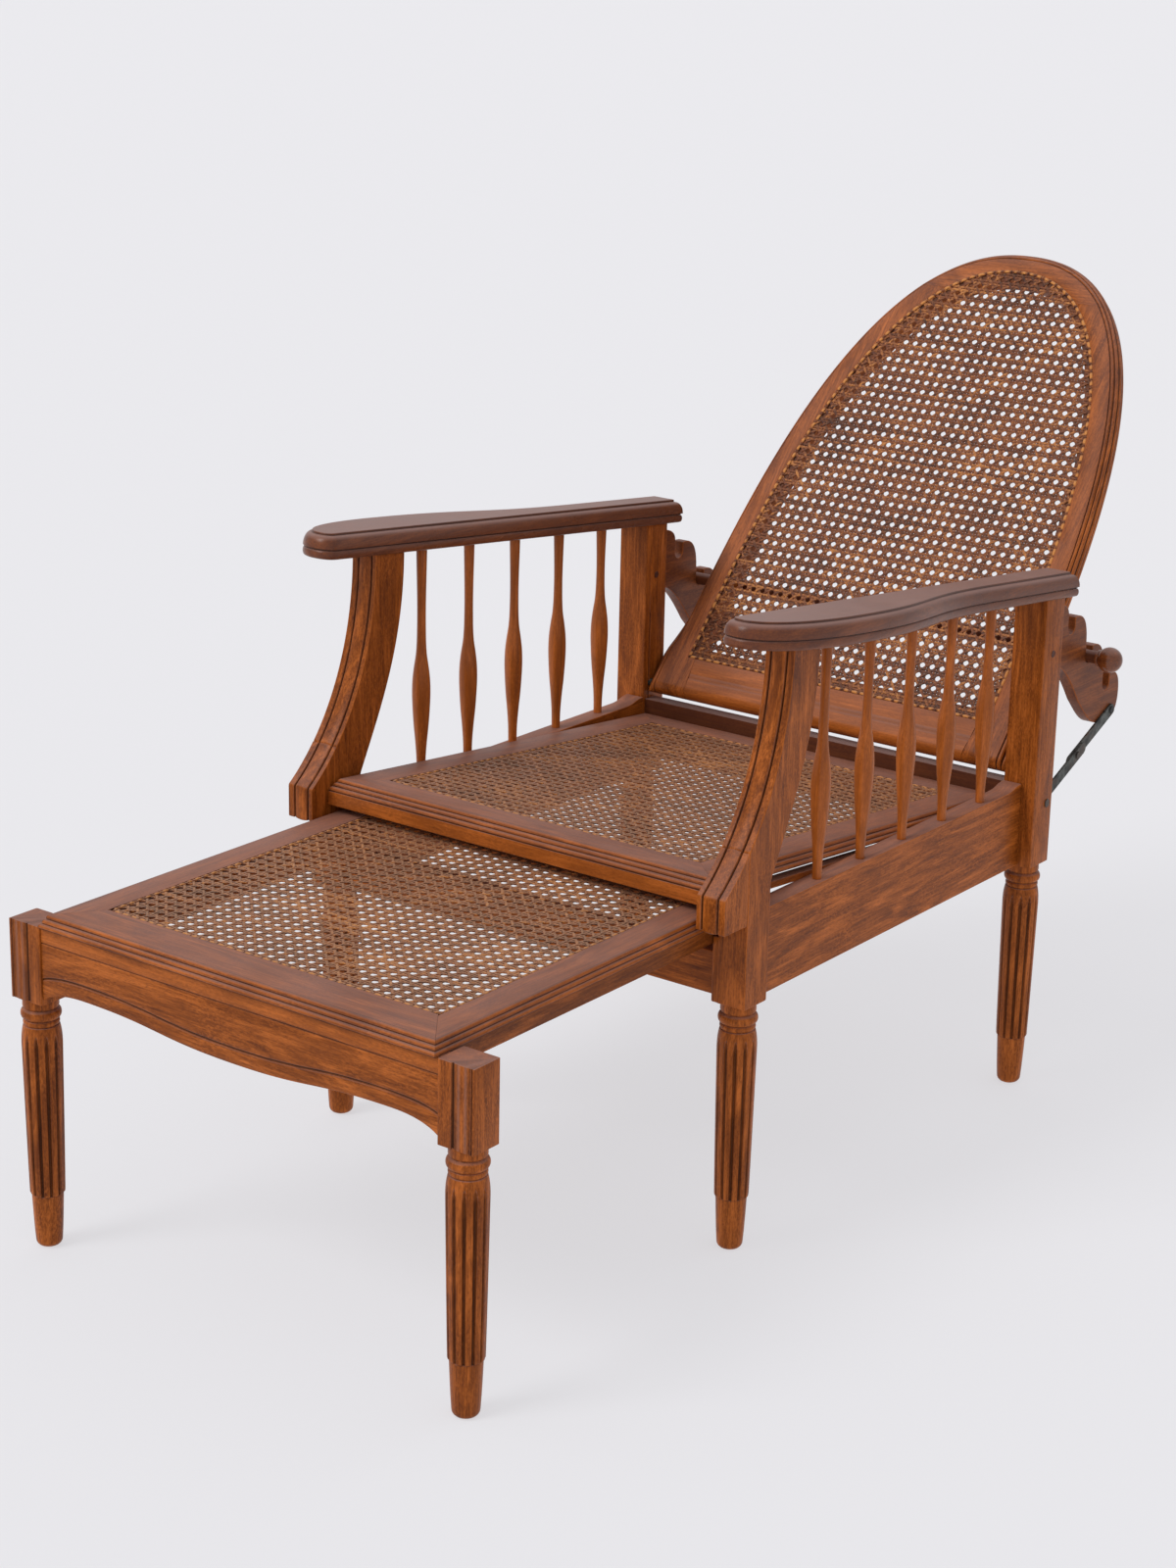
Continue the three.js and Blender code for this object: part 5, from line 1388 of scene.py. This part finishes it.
        reach = np.array([-1, -2.6 / 3.4, 0, 2.6 / 3.4, 1]) * (width / 2 + 0.7 * MM)
        rise = (np.array([-1.6, -0.5, -0.15, -0.5, -1.6]) - 0.2 + over * 1.4) * MM
        loop_sides = np.array([(-1.1, -0.4), (1.1, -0.4), (0.8, 0.4), (-0.8, 0.4)]) * MM
        for centre, out in zip(line[::points_per_loop], normals[::points_per_loop]):
            path = centre + reach[:, None] * out
            flat = path[:, None] + np.array([-out[1], out[0]]) * loop_sides[None, :, :1]
            tone = chance.uniform(0.1, 0.5)
            parts.append(self.strip(flat, rise[:, None] + loop_sides[None, :, 1], tone, lay))
        return parts


class ARMCHAIR_OT_rack(bpy.types.Operator):
    """Notched brackets, their pegs, the rest bar with its balls, the iron stays and pivot pins"""

    bl_idname = "armchair.rack"
    bl_label = "Recline rack"

    def execute(self, context):
        loop = soften(self.outline(), 2.2 * MM, least=35)
        thickness = 15 * MM
        plate = board(loop, (POST_INNER + POST_OUTER) / 2 - thickness / 2, thickness, 1.1 * MM)
        pair("notched_bracket", [plate], "beech rack", "chair", "rack_bracket")
        pair("dowel", [self.peg()], "beech peg", "chair", "rack_peg")
        for side_name, side in SIDES.items():
            for node in ("stay_upper", "stay_lower", "stay_bolt"):
                dress(f"{node}_{side_name}", "old iron", 0.3 * MM)
            dress(f"back_pivot_pin_{side_name}", "old iron")
            knob = f"bar_knob_{side_name}"
            piece(f"turned_ball_{side_name}", [self.ball(side)], "beech knob", "bar", knob)
        # The bar gets the darker finish as painted shade: it lies in the shadow of the cane.
        piece("turned_rest_bar", [self.bar()], "beech aged and shaded", "bar", "rest_bar")
        return {"FINISHED"}

    def along_x(self, profile, around=32):
        """Turning about the bar's own line, from (radius, x) pairs."""

        def lay(points):
            y, z = points[:, 0] + BAR_CENTRE.y, points[:, 1] - FRONT_LINE + BAR_CENTRE.z
            return np.stack([points[:, 2], y, z], -1)

        return moved(turned(profile, (0, 0), around=around), lay)

    def peg(self):
        """Dowel through the post, with a low dome r = 4 mm * sin on either face."""
        radius, dome = 4 * MM, 0.5 * MM
        turn = np.linspace(0, QUARTER, 5)
        inner, outer = POST_INNER - dome, POST_OUTER + dome
        profile = [(radius * math.sin(a) + 0.1 * MM, inner + dome * (1 - math.sin(a))) for a in turn]
        profile += [(r, outer + inner - x) for r, x in reversed(profile)]
        shift = (0, FRONT_LINE + PEG_PLACE[0] - BAR_CENTRE.y, PEG_PLACE[1] - BAR_CENTRE.z)
        return moved(self.along_x(profile, 20), lambda points: points + shift)

    def bar(self):
        """Round bar with eased ends."""
        reach, ease = 300 * MM, 0.6 * MM
        near_end = [(BAR_RADIUS - ease, -reach), (BAR_RADIUS, -reach + ease)]
        return self.along_x([*near_end, *((r, -x) for r, x in reversed(near_end))])

    def ball(self, side):
        """Ball r = sqrt(R^2 - d^2) with a short collar towards the chair."""
        centre, radius = 312 * MM, 15 * MM
        turn = np.linspace(0.02, math.pi - 0.62, 24)
        profile = [(radius * math.sin(a), centre + radius * math.cos(a)) for a in turn]
        collar = np.array([(9.2, 299.4), (9.6, 298.2), (9.6, 297), (8, 296.6)]) * MM
        profile += collar.tolist()
        return self.along_x([(r, side * x) for r, x in profile])

    def outline(self):
        """Bracket in side view, worked out in millimetres: a tenon, three round-bottomed notches
        behind rounded horns, and a belly and waist drawn with Bezier curves."""
        root, tenon, top, bottom = 594.3, 594 - 28, 578, 506
        notch, step, fall = 8.1, 47.5, 43.5
        bar_y, bar_z = (BAR_CENTRE.y - FRONT_LINE) / MM, BAR_CENTRE.z / MM
        fronts = [bar_y + k * step - notch for k in (-1, 0, 1)]
        floors = [bar_z - 7.8 - k * fall + notch for k in (-1, 0, 1)]
        turn = np.linspace(math.pi, 2 * math.pi, 13)
        runs = [[(root, 512), (tenon, 512), (tenon, 560), (root, 560), (root, top)]]
        at, crown = (root, top), top
        for front, low in zip(fronts, floors):
            runs.append(bezier(at, (front, crown), (front, low + 24 - notch), steps=10))
            runs.append(np.column_stack([front + notch + notch * np.cos(turn), low + notch * np.sin(turn)]))
            crown, rear = low + 19 - notch, front + 2 * notch
            at = (rear + 6, crown)
            runs.append([(rear, crown), at])
        tip = at[0]
        end, belly, waist = tip + 20, tip - 17.5, tip - 95 + 14
        shoulder, belly_z, waist_z = crown - 26, bottom - 95, bottom - 56
        low_point, waist_point = (belly, belly_z), (waist, waist_z)
        middle = ((end + belly) / 2, belly_z)
        runs.append(bezier(at, (end, crown), (end, shoulder), steps=12))
        runs.append(bezier((end, shoulder), (end, belly_z), middle, low_point, steps=16))
        pulls = (belly - 28, belly_z), (waist + 25, waist_z - 25)
        runs.append(bezier(low_point, *pulls, waist_point, steps=20))
        pulls = (waist - 25, bottom - 22), (root + 28, bottom)
        runs.append(bezier(waist_point, *pulls, (root, bottom), steps=20))
        return chain(*(np.asarray(run) * MM for run in runs))


class ARMCHAIR_OT_studio(bpy.types.Operator):
    """Floor, soft light and camera"""

    bl_idname = "armchair.studio"
    bl_label = "Studio"

    FLOOR_CORNERS = 96
    SKY_COLOUR = (0.97, 0.97, 1.0, 1)
    SUN_WAY = (0.42, 0.86, -1.02)

    def execute(self, context):
        studio = context.scene.armchair_studio
        self.floor(studio)
        self.sky(studio)
        self.sun(studio)
        self.camera(studio)
        context.scene.view_settings.view_transform = "Standard"
        return {"FINISHED"}

    def floor(self, studio):
        """Round plate under the feet."""
        angle = np.linspace(0, 2 * np.pi, self.FLOOR_CORNERS, endpoint=False)
        disc = studio.floor_reach * np.stack([np.cos(angle), np.sin(angle), 0 * angle], -1)
        paper_finish("pale floor", tuple(studio.floor), studio.glow)
        mesh = bpy.data.meshes.new("floor")
        mesh.from_pydata(disc, [], [list(range(self.FLOOR_CORNERS))])
        mesh.materials.append(bpy.data.materials["pale floor"])
        floor = bpy.data.objects.new("floor", mesh)
        bpy.context.scene.collection.objects.link(floor)

    def sky(self, studio):
        """Even light. What the camera sees of it past the floor's edge has the floor's colour."""
        world = bpy.data.worlds.new("studio")
        world.use_nodes = True
        tree = world.node_tree
        light = tree.nodes["Background"]
        light.inputs["Color"].default_value = self.SKY_COLOUR
        light.inputs["Strength"].default_value = studio.sky
        beyond = tree.nodes.new("ShaderNodeBackground")
        beyond.inputs["Color"].default_value = tuple(studio.floor)
        ray = tree.nodes.new("ShaderNodeLightPath")
        choice = tree.nodes.new("ShaderNodeMixShader")
        tree.links.new(ray.outputs["Is Camera Ray"], choice.inputs[0])
        tree.links.new(light.outputs[0], choice.inputs[1])
        tree.links.new(beyond.outputs[0], choice.inputs[2])
        tree.links.new(choice.outputs[0], tree.nodes["World Output"].inputs["Surface"])
        bpy.context.scene.world = world

    def sun(self, studio):
        """Main light, wide enough for soft shadows."""
        lamp = bpy.data.lights.new("main light", "SUN")
        lamp.energy = studio.key
        lamp.angle = studio.spread
        light = bpy.data.objects.new("main light", lamp)
        light.rotation_euler = Vector(self.SUN_WAY).to_track_quat("-Z", "Y").to_euler()
        bpy.context.scene.collection.objects.link(light)

    def camera(self, studio):
        """Camera axes: Z back = (sin b cos t, -cos b cos t, sin t), X and Y turned by the roll."""
        back = Vector((
            math.sin(studio.bearing) * math.cos(studio.tilt),
            -math.cos(studio.bearing) * math.cos(studio.tilt),
            math.sin(studio.tilt),
        ))
        right = (-back).cross(Vector((0, 0, 1))).normalized()
        up = right.cross(-back)
        cosine, sine = math.cos(studio.roll), math.sin(studio.roll)
        x_axis, y_axis = cosine * right + sine * up, cosine * up - sine * right
        data = bpy.data.cameras.new("camera")
        data.sensor_fit = "AUTO"
        data.sensor_width = 36
        data.lens = studio.lens
        data.clip_end = 200
        camera = bpy.data.objects.new("camera", data)
        turn = Matrix((x_axis, y_axis, back)).transposed().to_4x4()
        camera.matrix_world = Matrix.Translation(Vector(studio.place)) @ turn
        bpy.context.scene.collection.objects.link(camera)
        bpy.context.scene.camera = camera


OPERATORS = (
    ARMCHAIR_OT_finishes,
    ARMCHAIR_OT_front_legs,
    ARMCHAIR_OT_rear_legs,
    ARMCHAIR_OT_rails,
    ARMCHAIR_OT_spindles,
    ARMCHAIR_OT_arms,
    ARMCHAIR_OT_seat,
    ARMCHAIR_OT_footrest,
    ARMCHAIR_OT_back,
    ARMCHAIR_OT_cane,
    ARMCHAIR_OT_rack,
    ARMCHAIR_OT_studio,
)
SETTINGS = {
    "armchair_legs": LegSizes,
    "armchair_cane": CaneSizes,
    "armchair_colours": FinishColours,
    "armchair_studio": StudioSettings,
}


class ARMCHAIR_PT_panel(bpy.types.Panel):
    bl_label = "Reclining armchair"
    bl_idname = "ARMCHAIR_PT_panel"
    bl_space_type = "VIEW_3D"
    bl_region_type = "UI"
    bl_category = "Armchair"

    def draw(self, context):
        for name, group in SETTINGS.items():
            box = self.layout.box()
            for key in group.__annotations__:
                box.prop(getattr(context.scene, name), key)
        for operator in OPERATORS:
            self.layout.operator(operator.bl_idname)


def register():
    for group in SETTINGS.values():
        bpy.utils.register_class(group)
    for name, group in SETTINGS.items():
        setattr(bpy.types.Scene, name, bpy.props.PointerProperty(type=group))
    for operator in OPERATORS:
        bpy.utils.register_class(operator)
    bpy.utils.register_class(ARMCHAIR_PT_panel)


def unregister():
    bpy.utils.unregister_class(ARMCHAIR_PT_panel)
    for operator in reversed(OPERATORS):
        bpy.utils.unregister_class(operator)
    for name, group in SETTINGS.items():
        delattr(bpy.types.Scene, name)
        bpy.utils.unregister_class(group)


def main():
    """Makes everything in order."""
    register()
    for operator in OPERATORS:
        space, name = operator.bl_idname.split(".")
        getattr(getattr(bpy.ops, space), name)()


if __name__ == "__main__":
    main()
